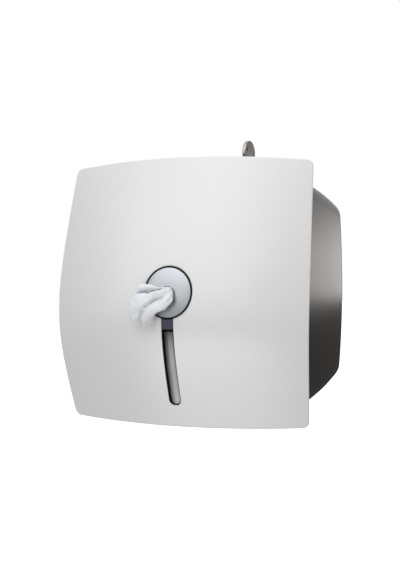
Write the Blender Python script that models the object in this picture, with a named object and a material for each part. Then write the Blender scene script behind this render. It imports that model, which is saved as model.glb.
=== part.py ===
# Wall-mounted centrefeed paper roll dispenser with a flared shell, a domed front panel and a round nozzle.
# Units are metres, +Z is up and the front faces -Y. The origin is on the wall face, level with the nozzle.
import math

import bmesh
import bpy
from mathutils import Matrix, Vector

# Clearances and steps shared by all pieces
GAP = 0.0003
OVERRUN = 0.002
ROUND_STEPS = 28
NOZZLE_STEPS = 48
NUT_STEPS = 24
ARC_STEPS = 8
SMALL_ROUND_STEPS = 14
SMOOTH_ANGLE = math.radians(32)

# The paper roll drives the size of the housing
ROLL_RADIUS = 0.095
ROLL_WIDTH = 0.200
ROLL_HOLE_RADIUS = 0.030
ROLL_EDGE = 0.002
ROLL_REAR_ROOM = 0.016
ROLL_FRONT_ROOM = 0.0044

# Tapered shell: sizes at its rear rim, measured at the corners
ROLL_SIDE_ROOM = 0.019
ROLL_HEAD_ROOM = 0.0135
SHELL_WALL = 0.0025
SHELL_BULGE = 0.0038
SHELL_FLARE = 0.022
SHELL_FLARE_LENGTH = 0.246
SHELL_FLARE_POWER_SHARE = 1.7
SHELL_CORNER_RADIUS = 0.018
SHELL_DROP = 0.0015
SHELL_REAR_GAP = 0.004
SHELL_FRONT_GAP = 0.0009
SHELL_SIDE_STEPS = 9
SHELL_CORNER_STEPS = 5
SHELL_DEPTH_SHARES = (0, 0.1, 0.25, 0.45, 0.7, 1)

# Domed front panel
TOP_OVERHANG = 0.0157
SIDE_OVERHANG = 0.0145
PANEL_WALL = 0.003
PANEL_LIP_DEPTH = 0.006
PANEL_LIP_WALL = 0.0025
PANEL_EDGE_ROUND = 0.001
PANEL_HOLE_GAP = 0.0005
PANEL_CORNER_RADIUS = 0.0075
SIDE_SAG = 0.0253
FOLD_HEIGHT = -0.028
FOLD_BLUNTNESS = 0.061
TOP_SLOPE_SHARE = 0.296
BOTTOM_SLOPE_SHARE = 0.391
WIDEST_HEIGHT = -0.017
BARREL_BLUNTNESS = 0.080
TOP_BARREL_SHARE = 0.0685
BOTTOM_BARREL_SHARE = 0.118
TOP_CROWN = 0.008
BOTTOM_CROWN = 0.005
PANEL_SIDE_STEPS = 12
PANEL_CORNER_STEPS = 3
PANEL_FRONT_SHARES = (0, 0.12, 0.26, 0.42, 0.6, 0.8, 1)
PANEL_BACK_SHARES = (1, 0.91, 0.8, 0.55, 0.3, 0.12, 0)

# Screws that hold the panel to the shell, and their bosses
SCREW_RADIUS = 0.0016
SCREW_HEAD_RADIUS = 0.0034
SCREW_HEAD_HEIGHT = 0.0022
SCREW_GRIP = 0.0045
SCREW_RECESS_RADIUS = 0.0012
SCREW_RECESS_DEPTH = 0.0012
SCREW_DOME_SHARE = 0.72
SCREW_RIM_SHARE = 0.4
SCREW_TIP_SHARE = 0.3
SCREW_STEPS = 12
BOSS_RADIUS = 0.004
PANEL_BOSS_HEIGHT = 0.0095
WINDOW_BOSS_HEIGHT = 0.0055
EAR_THICKNESS = 0.003

# Nozzle: depths run from its front plane towards the wall
NOZZLE_TILT = math.radians(6)
HOUSING_RADIUS = 0.0293
HOUSING_WALL = 0.0018
HOUSING_DEPTH = 0.012
HOUSING_PROUD = 0.0006
HOUSING_SEAT_DEPTH = 0.0034
HOUSING_SEAT_WALL = 0.002
HOUSING_SEAT_WIDTH = 0.0035
DISC_CROWN = 0.002
DISC_WALL = 0.002
DISC_EDGE = 0.0006
DISC_LIP = 0.0012
DISC_SHARES = (0.85, 0.7, 0.55, 0.4)
THROAT_RADIUS = 0.0062
THROAT_WALL = 0.0018
THROAT_LENGTH = 0.012
LOCKNUT_WALL = 0.0042
LOCKNUT_DEPTH = 0.004
LOCKNUT_PLANE = 0.0072
LOCKNUT_NOTCH = 0.003
LOCKNUT_NOTCHES = 6
FUNNEL_LENGTH = 0.013
FUNNEL_WALL = 0.0015

# Level window below the nozzle
SLOT_HALF_WIDTH = 0.0074
SLOT_MARGIN = 0.024
SLOT_END_RADIUS = 0.0062
SLOT_SIDE_SHARES = (0.33, 0.67)
CAP_BOTTOM = -0.0405
CAP_DEPTH = 0.0044
CAP_PROUD = 0.0003
CAP_EDGE = 0.0008
BEZEL_DEPTH = 0.005
BEZEL_EDGE = 0.0009
BEZEL_SLOPE = 0.0012
BEZEL_FLANGE = 0.0035
BEZEL_FLANGE_WALL = 0.0015
BEZEL_SET_BACK = 0.0002
PANE_WALL = 0.0016
PANE_CROWN = 0.0012
PANE_STATIONS = 14
PANE_COLUMN_SHARES = (-1, -0.6, -0.2, 0.2, 0.6, 1)
WINDOW_SCREW_RISE = 0.041
WINDOW_EAR_REACH = 0.0075
WINDOW_EAR_HALF = 0.0045

# Hinge at the rear bottom edge
HINGE_Y = -0.016
HINGE_RISE = 0.002
HINGE_KNUCKLE_RADIUS = 0.005
HINGE_PIN_RADIUS = 0.002
HINGE_PIN_HEAD_RADIUS = 0.0034
HINGE_PIN_HEAD = 0.0016
HINGE_LUG_X = 0.066
HINGE_LUG_WIDTH = 0.008
HINGE_KNUCKLE_WIDTH = 0.009
HINGE_SIDE_GAP = 0.0006
HINGE_SWEEP = 0.0085

# Wall plate
PLATE_WALL = 0.003
PLATE_EDGE_GAP = 0.002
PLATE_LIP_HEIGHT = 0.009
PLATE_LIP_WALL = 0.002
PLATE_LIP_INSET = 0.008
PLATE_LIP_HALF_SPAN = 0.070
WALL_HOLE_X = 0.075
WALL_HOLE_Z = 0.055
WALL_HOLE_RADIUS = 0.00275
WALL_PAD_RADIUS = 0.009
WALL_PAD_HEIGHT = 0.002
RIB_HALF_WIDTH = 0.0012
RIB_HEIGHT = 0.004

# Lock at the top rear
LOCK_Y = -0.018
TOWER_RISE = 0.0317
TOWER_HALF_WIDTH = 0.015
TOWER_FRONT_DEPTH = 0.016
TOWER_EDGE = 0.003
BARREL_RADIUS = 0.009
BARREL_FLANGE_RADIUS = 0.0112
BARREL_FLANGE = 0.0018
PLUG_RADIUS = 0.0055
PLUG_TAIL_RADIUS = 0.003
LOCKING_NUT_RADIUS = 0.0125
LOCKING_NUT_HEIGHT = 0.003
BARREL_STICK_OUT = 0.0036
CAM_THICKNESS = 0.0022
CAM_HUB_RADIUS = 0.0065
CAM_LENGTH = 0.0132
CAM_HALF_WIDTH = 0.004
KEYWAY_WIDTH = 0.003
KEYWAY_HEIGHT = 0.0062
KEYWAY_DEPTH = 0.024

# Keeper that the cam turns behind
KEEPER_SHEET = 0.002
KEEPER_LEFT = 0.0098
KEEPER_WIDTH = 0.022
KEEPER_LIP_WIDTH = 0.008
KEEPER_BASE_HEIGHT = 0.013
KEEPER_LIP_HEIGHT = 0.0043
KEEPER_STAND_OFF = 0.005
KEEPER_BOSS_RADIUS = 0.004
KEEPER_CAM_GAP = 0.0006
KEEPER_WEB_DROP = 0.001

# Key
KEY_THICKNESS = 0.0038
KEY_BOW_RADIUS = 0.0157
KEY_BOW_RISE = 0.0433
KEY_STEM_HALF_WIDTH = 0.005
KEY_BLADE_THICKNESS = 0.0024
KEY_BLADE_WIDTH = 0.0056
KEY_BLADE_LENGTH = 0.021
KEY_HOLE_RADIUS = 0.0017
KEY_HOLE_FORWARD = 0.0112
KEY_HOLE_UP = 0.005
KEY_EDGE = 0.0005

# Cradle under the roll
CRADLE_WALL = 0.0025
CRADLE_HALF_ANGLE = math.radians(40)
CRADLE_REAR_ROOM = 0.019
CRADLE_FRONT_ROOM = 0.012
CRADLE_RIBS = 4
CRADLE_RIB_WALL = 0.0025
CRADLE_RIB_HALF_SPAN = 0.050
CRADLE_STEPS = 16

# Tissue: the strand in the throat and the tail that hangs from it
TAIL_SIDE_POINTS = 13
TAIL_WAVES = 2.5

# Sizes that follow from the ones above
REAR_HALF_WIDTH = ROLL_RADIUS + ROLL_SIDE_ROOM
REAR_HALF_HEIGHT = ROLL_RADIUS + ROLL_HEAD_ROOM
PANEL_HALF_WIDTH = REAR_HALF_WIDTH + SHELL_FLARE + SHELL_BULGE + SIDE_OVERHANG
PANEL_HALF_HEIGHT = REAR_HALF_HEIGHT + SHELL_FLARE + SHELL_BULGE + TOP_OVERHANG
SLOT_BOTTOM = SLOT_MARGIN - PANEL_HALF_HEIGHT


def fold_depth(z):
    """How far the panel's upright profile stands behind its most forward point."""
    slope = TOP_SLOPE_SHARE if z > FOLD_HEIGHT else BOTTOM_SLOPE_SHARE
    return slope * (math.hypot(FOLD_BLUNTNESS, z - FOLD_HEIGHT) - FOLD_BLUNTNESS)


def dome_depth(x, z):
    return SIDE_SAG * (x / PANEL_HALF_WIDTH) ** 2 + fold_depth(z)


def deepest_dome_at_roll():
    """The largest dome depth round the roll's front edge, which the roll must stay behind."""
    angles = [2 * math.pi * step / ROUND_STEPS for step in range(ROUND_STEPS)]
    return max(dome_depth(ROLL_RADIUS * math.cos(a), ROLL_RADIUS * math.sin(a)) for a in angles)


ROLL_REAR_Y = -ROLL_REAR_ROOM
ROLL_FRONT_Y = ROLL_REAR_Y - ROLL_WIDTH
NOSE_Y = ROLL_FRONT_Y - ROLL_FRONT_ROOM - PANEL_WALL - deepest_dome_at_roll()


def panel_y(x, z, behind=0):
    """Y of the panel's front surface, or of a surface that many metres behind it."""
    return NOSE_Y + dome_depth(x, z) + behind


def panel_half_width(z):
    slope = TOP_BARREL_SHARE if z > WIDEST_HEIGHT else BOTTOM_BARREL_SHARE
    return PANEL_HALF_WIDTH - slope * (math.hypot(BARREL_BLUNTNESS, z - WIDEST_HEIGHT) - BARREL_BLUNTNESS)


def panel_half_height(x, upper):
    crown = TOP_CROWN if upper else BOTTOM_CROWN
    return PANEL_HALF_HEIGHT - crown * (x / PANEL_HALF_WIDTH) ** 2


def rounded_rectangle(half_width, half_height, radius, side_steps, corner_steps):
    """Points of a rounded rectangle, anticlockwise, with the same count for any size."""
    corners = []
    for quarter, (sx, sz) in enumerate(((1, 1), (-1, 1), (-1, -1), (1, -1))):
        cx = sx * (half_width - radius)
        cz = sz * (half_height - radius)
        arc = []
        for step in range(corner_steps + 1):
            angle = (quarter + step / corner_steps) * math.pi / 2
            arc.append((cx + radius * math.cos(angle), cz + radius * math.sin(angle)))
        corners.append(arc)
    points = []
    for index, arc in enumerate(corners):
        points.extend(arc)
        start = arc[-1]
        end = corners[(index + 1) % len(corners)][0]
        for step in range(1, side_steps):
            share = step / side_steps
            points.append((start[0] + (end[0] - start[0]) * share, start[1] + (end[1] - start[1]) * share))
    return points


def panel_outline(inset):
    points = rounded_rectangle(
        PANEL_HALF_WIDTH - inset, PANEL_HALF_HEIGHT - inset, PANEL_CORNER_RADIUS - inset,
        PANEL_SIDE_STEPS, PANEL_CORNER_STEPS)
    bent = []
    for x, z in points:
        wide = panel_half_width(z) / PANEL_HALF_WIDTH
        high = panel_half_height(x, z > 0) / PANEL_HALF_HEIGHT
        bent.append((x * wide, z * high))
    return bent


def shell_growth(depth):
    """How much wider the shell is, on each side, at this distance in front of its rear rim."""
    left = max(1 - depth / SHELL_FLARE_LENGTH, 0)
    return SHELL_FLARE * (1 - left ** SHELL_FLARE_POWER_SHARE)


def shell_point(point, half_width, half_height):
    """A rounded rectangle's point with the shell's barrel bulge and its drop."""
    x, z = point
    wide = 1 + SHELL_BULGE / half_width * (1 - (z / half_height) ** 2)
    high = 1 + SHELL_BULGE / half_height * (1 - (x / half_width) ** 2)
    return x * wide, z * high - SHELL_DROP


def shell_outline(depth, inset):
    grown = shell_growth(depth) - inset
    half_width = REAR_HALF_WIDTH + grown
    half_height = REAR_HALF_HEIGHT + grown
    points = rounded_rectangle(
        half_width, half_height, SHELL_CORNER_RADIUS - inset, SHELL_SIDE_STEPS, SHELL_CORNER_STEPS)
    return [shell_point(point, half_width, half_height) for point in points]


def shell_edge_z(x, depth, inset, upper):
    """Z of the shell's top or bottom wall at this x and depth."""
    grown = shell_growth(depth) - inset
    half_width = REAR_HALF_WIDTH + grown
    reach = REAR_HALF_HEIGHT + grown + SHELL_BULGE * (1 - (x / half_width) ** 2)
    return (reach if upper else -reach) - SHELL_DROP


def shell_corner(depth, sx, sz):
    """Centre of the shell's corner arc at this depth."""
    half_width = REAR_HALF_WIDTH + shell_growth(depth)
    half_height = REAR_HALF_HEIGHT + shell_growth(depth)
    centre = (sx * (half_width - SHELL_CORNER_RADIUS), sz * (half_height - SHELL_CORNER_RADIUS))
    return shell_point(centre, half_width, half_height)


SHELL_REAR_Y = -SHELL_REAR_GAP


def front_depth(x, z):
    """Distance from the shell's rear rim to the panel's back at this place."""
    return SHELL_REAR_Y - panel_y(x, z, PANEL_WALL)


def shell_floor_z(x, depth):
    """Z of the floor inside the shell, which runs straight from one of its rings to the next."""
    full = front_depth(x, shell_edge_z(x, ROLL_WIDTH, 0, False)) - SHELL_FRONT_GAP
    for near, far in zip(SHELL_DEPTH_SHARES, SHELL_DEPTH_SHARES[1:]):
        if depth <= full * far:
            break
    start = shell_edge_z(x, full * near, SHELL_WALL, False)
    end = shell_edge_z(x, full * far, SHELL_WALL, False)
    return start + (end - start) * (depth / full - near) / (far - near)


HINGE_FLOOR_Z = shell_edge_z(HINGE_LUG_X, -HINGE_Y - SHELL_REAR_GAP, SHELL_WALL, False)
HINGE_Z = HINGE_FLOOR_Z + HINGE_KNUCKLE_RADIUS + HINGE_RISE
PLATE_BOTTOM = HINGE_Z + HINGE_SWEEP
LOCK_INNER_Z = shell_edge_z(0, 0, SHELL_WALL, True)
LOCK_TOP = LOCK_INNER_Z + TOWER_RISE
BARREL_BOTTOM = LOCK_INNER_Z - LOCKING_NUT_HEIGHT - BARREL_STICK_OUT / 2 - GAP
CAM_TOP = BARREL_BOTTOM - GAP
CAM_BOTTOM = CAM_TOP - CAM_THICKNESS


def nozzle_matrix():
    """Places a turned piece whose axis is local Z, running back from the nozzle's front plane."""
    centre = Vector((0, panel_y(0, 0), 0))
    return Matrix.Translation(centre) @ Matrix.Rotation(-math.pi / 2 - NOZZLE_TILT, 4, "X")


def slot_half_width(z, bottom, half_width, radius):
    """Half the width of a round-ended slot at height z."""
    over = bottom + radius - z
    if over <= 0:
        return half_width
    return half_width - radius + math.sqrt(max(radius ** 2 - over ** 2, 0))


def slot_outline(grow, top):
    """Outline of the window's slot, grown on its sides and bottom, with a straight top edge."""
    half_width = SLOT_HALF_WIDTH + grow
    radius = SLOT_END_RADIUS + grow
    bottom = SLOT_BOTTOM - grow
    points = [(half_width, top), (-half_width, top)]
    for share in SLOT_SIDE_SHARES:
        points.append((-half_width, top + (bottom + radius - top) * share))
    for side in (-1, 1):
        arc = []
        for step in range(ARC_STEPS + 1):
            angle = math.pi / 2 * step / ARC_STEPS
            x = side * (half_width - radius + radius * math.cos(angle))
            arc.append((x, bottom + radius - radius * math.sin(angle)))
        points.extend(arc if side < 0 else reversed(arc))
    for share in reversed(SLOT_SIDE_SHARES):
        points.append((half_width, top + (bottom + radius - top) * share))
    return points


def clear_scene():
    for thing in list(bpy.data.objects):
        bpy.data.objects.remove(thing)


def finish(name, colour, roughness, metallic):
    surface = bpy.data.materials.new(name)
    surface.use_nodes = True
    shader = surface.node_tree.nodes["Principled BSDF"]
    shader.inputs["Base Color"].default_value = (*colour, 1)
    shader.inputs["Roughness"].default_value = roughness
    shader.inputs["Metallic"].default_value = metallic
    return surface


def add_ring(bm, points):
    return [bm.verts.new(point) for point in points]


def skin(bm, rings, closed=False):
    """Faces between neighbouring rings, where a ring of one point is a pole."""
    pairs = list(zip(rings, rings[1:]))
    if closed:
        pairs.append((rings[-1], rings[0]))
    for first, second in pairs:
        count = max(len(first), len(second))
        for index in range(count):
            after = (index + 1) % count
            corners = [first[index % len(first)], first[after % len(first)]]
            corners += [second[after % len(second)], second[index % len(second)]]
            bm.faces.new(list(dict.fromkeys(corners)))


def outward(bm):
    bmesh.ops.recalc_face_normals(bm, faces=bm.faces)
    return bm


def lofted(rings, closed=True, capped=False):
    bm = bmesh.new()
    made = [add_ring(bm, ring) for ring in rings]
    skin(bm, made, closed)
    if capped:
        bm.faces.new(made[0])
        bm.faces.new(made[-1])
    return outward(bm)


def turned(profile, steps=ROUND_STEPS, closed=False):
    """Turns (radius, height) points about local Z. A closed profile leaves a bore."""
    rings = []
    for radius, height in profile:
        if radius == 0:
            rings.append([(0, 0, height)])
            continue
        angles = [2 * math.pi * step / steps for step in range(steps)]
        rings.append([(radius * math.cos(a), radius * math.sin(a), height) for a in angles])
    return lofted(rings, closed=closed)


def rod(radius, start, end, steps=SMALL_ROUND_STEPS):
    """A plain cylinder along local Z."""
    return turned([(0, start), (radius, start), (radius, end), (0, end)], steps)


def prism(points, start, end, matrix=None):
    """A flat outline in local XY, extruded along local Z."""
    bm = bmesh.new()
    face = bm.faces.new([bm.verts.new((x, y, start)) for x, y in points])
    grown = bmesh.ops.extrude_face_region(bm, geom=[face])["geom"]
    moved = [thing for thing in grown if isinstance(thing, bmesh.types.BMVert)]
    bmesh.ops.translate(bm, verts=moved, vec=(0, 0, end - start))
    return outward(placed(bm, matrix))


def box(low, high):
    bm = bmesh.new()
    bmesh.ops.create_cube(bm, size=1)
    middle = [(a + b) / 2 for a, b in zip(low, high)]
    size = [b - a for a, b in zip(low, high)]
    bmesh.ops.scale(bm, vec=size, verts=bm.verts)
    bmesh.ops.translate(bm, vec=middle, verts=bm.verts)
    return bm


def placed(bm, matrix):
    if matrix is not None:
        bmesh.ops.transform(bm, matrix=matrix, verts=bm.verts)
    return bm


def gathered(shapes):
    """Several shapes that do not touch, in one mesh."""
    together = bmesh.new()
    for shape in shapes:
        mesh = bpy.data.meshes.new("shape")
        shape.to_mesh(mesh)
        shape.free()
        together.from_mesh(mesh)
        bpy.data.meshes.remove(mesh)
    return together


def bevelled(bm, width, chosen, segments=2):
    edges = [edge for edge in bm.edges if chosen(edge)]
    bmesh.ops.bevel(
        bm, geom=edges, offset=width, offset_type="OFFSET", segments=segments,
        profile=0.5, affect="EDGES", clamp_overlap=True, material=-1)
    return bm


ALONG_Y = Matrix.Rotation(math.pi / 2, 4, "X")
XZ_TO_WORLD = Matrix(((1, 0, 0, 0), (0, 0, 1, 0), (0, 1, 0, 0), (0, 0, 0, 1)))
YZ_TO_WORLD = Matrix(((0, 0, 1, 0), (1, 0, 0, 0), (0, 1, 0, 0), (0, 0, 0, 1)))


def facing_y(x, y, z):
    """Local Z runs towards -Y from this point, so a height is a distance in front of it."""
    return Matrix.Translation((x, y, z)) @ ALONG_Y


def make(name, bm, surface, body=None):
    mesh = bpy.data.meshes.new(name)
    bm.to_mesh(mesh)
    bm.free()
    mesh.materials.append(surface)
    mesh.shade_smooth()
    mesh.set_sharp_from_angle(angle=SMOOTH_ANGLE)
    thing = bpy.data.objects.new(name, mesh)
    bpy.context.scene.collection.objects.link(thing)
    if body is not None:
        thing.parent = body
        thing.location = -world_place(body)
    return thing


def world_place(thing):
    place = thing.location.copy()
    while thing.parent is not None:
        thing = thing.parent
        place = place + thing.location
    return place


def shaped(thing, operation, bm, name):
    """Adds or cuts a helper shape with a Boolean modifier."""
    mesh = bpy.data.meshes.new(name)
    bm.to_mesh(mesh)
    bm.free()
    helper = bpy.data.objects.new(name, mesh)
    bpy.context.scene.collection.objects.link(helper)
    helper.hide_render = True
    helper.display_type = "WIRE"
    modifier = thing.modifiers.new(name, "BOOLEAN")
    modifier.operation = operation
    modifier.solver = "EXACT"
    modifier.object = helper
    return thing


def axis_empty(name, place, body=None):
    empty = bpy.data.objects.new(name, None)
    bpy.context.scene.collection.objects.link(empty)
    if body is None:
        empty.location = place
    else:
        empty.parent = body
        empty.location = Vector(place) - world_place(body)
    return empty


def screw(grip):
    """A pan-head screw along local Z: the head's seat is at 0 and the shank runs down."""
    top = SCREW_HEAD_HEIGHT
    floor = top - SCREW_RECESS_DEPTH
    head = [(0, floor), (SCREW_RECESS_RADIUS, floor), (SCREW_RECESS_RADIUS, top)]
    head += [(SCREW_HEAD_RADIUS * SCREW_DOME_SHARE, top), (SCREW_HEAD_RADIUS, top * SCREW_RIM_SHARE)]
    head += [(SCREW_HEAD_RADIUS, 0), (SCREW_RADIUS, 0)]
    shank = [(SCREW_RADIUS, -grip + SCREW_RADIUS), (SCREW_RADIUS * SCREW_TIP_SHARE, -grip), (0, -grip)]
    return turned(head + shank, SCREW_STEPS)


def build_panel(cover, white):
    hole = HOUSING_RADIUS + PANEL_HOLE_GAP
    outline = panel_outline(0)

    def ring(inset, share, behind):
        points = []
        for x, z in panel_outline(inset):
            far = math.hypot(x, z)
            near_x = x / far * hole
            near_z = z / far * hole - behind * math.tan(NOZZLE_TILT)
            px = near_x + (x - near_x) * share
            pz = near_z + (z - near_z) * share
            points.append((px, panel_y(px, pz, behind), pz))
        return points

    front = [ring(PANEL_EDGE_ROUND, share, 0) for share in PANEL_FRONT_SHARES]
    edge = [[(x, panel_y(x, z, PANEL_EDGE_ROUND), z) for x, z in outline]]
    edge.append([(x, panel_y(x, z, PANEL_LIP_DEPTH), z) for x, z in outline])
    edge.append([(x, panel_y(x, z, PANEL_LIP_DEPTH), z) for x, z in panel_outline(PANEL_LIP_WALL)])
    back = [ring(PANEL_LIP_WALL, share, PANEL_WALL) for share in PANEL_BACK_SHARES]
    panel = make("front_panel", lofted(front + edge + back), white, cover)

    slot = prism(slot_outline(0, -hole + OVERRUN), NOSE_Y - OVERRUN, ROLL_FRONT_Y, XZ_TO_WORLD)
    shaped(panel, "DIFFERENCE", slot, "panel_slot")

    bosses = []
    holes = []
    tall = [(place, PANEL_BOSS_HEIGHT) for place in screw_places()]
    short = [(place, WINDOW_BOSS_HEIGHT) for place in window_screw_places()]
    for (x, z), height in tall + short:
        base = panel_y(x, z, PANEL_WALL)
        bosses.append(placed(rod(BOSS_RADIUS, -height + GAP, PANEL_WALL / 2), facing_y(x, base, z)))
        holes.append(placed(rod(SCREW_RADIUS + GAP, -height - OVERRUN, 0), facing_y(x, base, z)))
    shaped(panel, "UNION", gathered(bosses), "panel_bosses")
    shaped(panel, "DIFFERENCE", gathered(holes), "panel_boss_holes")
    return panel


def screw_places():
    """Screws sit at the centres of the shell's corner arcs, just behind the panel."""
    places = []
    for sx in (-1, 1):
        for sz in (-1, 1):
            depth = ROLL_WIDTH
            for _ in range(4):
                x, z = shell_corner(depth, sx, sz)
                depth = front_depth(x, z) - PANEL_BOSS_HEIGHT
            places.append((x, z))
    return places


def window_screw_places():
    reach = SLOT_HALF_WIDTH + WINDOW_EAR_REACH
    return [(-reach, SLOT_BOTTOM + WINDOW_SCREW_RISE), (reach, SLOT_BOTTOM + WINDOW_SCREW_RISE)]


def is_upright(edge):
    first, second = edge.verts
    return abs(first.co.z - second.co.z) > TOWER_EDGE


def build_shell(cover, dark):
    def ring(share, inset):
        count = 4 * (SHELL_SIDE_STEPS + SHELL_CORNER_STEPS)
        points = []
        for index in range(count):
            full = ROLL_WIDTH
            for _ in range(4):
                x, z = shell_outline(full, inset)[index]
                full = front_depth(x, z) - SHELL_FRONT_GAP
            x, z = shell_outline(full * share, inset)[index]
            points.append((x, SHELL_REAR_Y - full * share, z))
        return points

    outer = [ring(share, 0) for share in SHELL_DEPTH_SHARES]
    inner = [ring(share, SHELL_WALL) for share in reversed(SHELL_DEPTH_SHARES)]
    shell = make("cover_shell", lofted(outer + inner), dark, cover)

    lumps = []
    cuts = []
    for x, z in screw_places():
        base = panel_y(x, z, PANEL_WALL)
        back = -PANEL_BOSS_HEIGHT - EAR_THICKNESS
        ear = rod(SHELL_CORNER_RADIUS - SHELL_WALL / 2, back, -PANEL_BOSS_HEIGHT, ROUND_STEPS)
        lumps.append(placed(ear, facing_y(x, base, z)))
        hole = rod(SCREW_RADIUS + GAP, back - OVERRUN, -PANEL_BOSS_HEIGHT + OVERRUN)
        cuts.append(placed(hole, facing_y(x, base, z)))
    for start, end in knuckle_spans():
        lumps.append(knuckle(start, end))
    low = (-TOWER_HALF_WIDTH, LOCK_Y - TOWER_FRONT_DEPTH, shell_edge_z(0, 0, SHELL_WALL / 2, True))
    tower = box(low, (TOWER_HALF_WIDTH, SHELL_REAR_Y, LOCK_TOP))
    lumps.append(bevelled(tower, TOWER_EDGE, is_upright, 3))
    shaped(shell, "UNION", gathered(lumps), "shell_lumps")

    for side in (-1, 1):
        half = HINGE_LUG_WIDTH / 2 + HINGE_SIDE_GAP
        middle = side * HINGE_LUG_X
        low = (middle - half, HINGE_Y - HINGE_KNUCKLE_RADIUS - GAP, HINGE_Z - ROLL_REAR_ROOM)
        cuts.append(box(low, (middle + half, OVERRUN, HINGE_Z)))
    shaped(shell, "DIFFERENCE", gathered(cuts), "shell_cuts")
    bores = []
    for side in (-1, 1):
        start = side * HINGE_LUG_X - pin_half_length() - OVERRUN
        end = side * HINGE_LUG_X + pin_half_length() + OVERRUN
        along = Matrix.Translation((0, HINGE_Y, HINGE_Z)) @ Matrix.Rotation(math.pi / 2, 4, "Y")
        bores.append(placed(rod(HINGE_PIN_RADIUS + GAP, start, end), along))
    bore = Matrix.Translation((0, LOCK_Y, 0))
    bores.append(placed(rod(BARREL_RADIUS + GAP, BARREL_BOTTOM, LOCK_TOP + OVERRUN, ROUND_STEPS), bore))
    shaped(shell, "DIFFERENCE", gathered(bores), "shell_bores")
    return shell


def knuckle_spans():
    """Start and end of the two knuckles on each side of each wall plate lug."""
    spans = []
    near = HINGE_LUG_WIDTH / 2 + HINGE_SIDE_GAP
    for side in (-1, 1):
        middle = side * HINGE_LUG_X
        spans.append((middle - near - HINGE_KNUCKLE_WIDTH, middle - near))
        spans.append((middle + near, middle + near + HINGE_KNUCKLE_WIDTH))
    return spans


def pin_half_length():
    return HINGE_LUG_WIDTH / 2 + HINGE_SIDE_GAP + HINGE_KNUCKLE_WIDTH


def hinge_arc(start, end):
    """Points in YZ on an arc round the hinge's axis."""
    angles = [start + (end - start) * step / ARC_STEPS for step in range(ARC_STEPS + 1)]
    reach = HINGE_KNUCKLE_RADIUS
    return [(HINGE_Y + reach * math.cos(a), HINGE_Z + reach * math.sin(a)) for a in angles]


def knuckle(start, end):
    """A round-topped block on the shell's floor that holds a hinge pin."""
    floor = shell_edge_z((start + end) / 2, -HINGE_Y - SHELL_REAR_GAP, SHELL_WALL / 2, False)
    points = [(HINGE_Y - HINGE_KNUCKLE_RADIUS, floor), (HINGE_Y + HINGE_KNUCKLE_RADIUS, floor)]
    points += hinge_arc(0, math.pi)
    return prism(points, start, end, YZ_TO_WORLD)


def build_hinge_pins(steel):
    length = pin_half_length()
    for side, name in ((-1, "hinge_pin_left"), (1, "hinge_pin_right")):
        end = length + HINGE_PIN_HEAD
        profile = [(0, -length), (HINGE_PIN_RADIUS, -length), (HINGE_PIN_RADIUS, length + GAP)]
        profile += [(HINGE_PIN_HEAD_RADIUS, length + GAP), (HINGE_PIN_HEAD_RADIUS, end - HINGE_PIN_HEAD / 3)]
        profile += [(HINGE_PIN_HEAD_RADIUS / 2, end), (0, end)]
        turn = Matrix.Rotation(-side * math.pi / 2, 4, "Y")
        place = Matrix.Translation((side * HINGE_LUG_X, HINGE_Y, HINGE_Z)) @ turn
        make(name, placed(turned(profile, SMALL_ROUND_STEPS), place), steel)


def plate_rib(x, z, half_width, half_height, height=RIB_HEIGHT):
    """A rib or lip that stands on the wall plate's front."""
    low = (x - half_width, -PLATE_WALL - height, z - half_height)
    return box(low, (x + half_width, -PLATE_WALL / 2, z + half_height))


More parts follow.
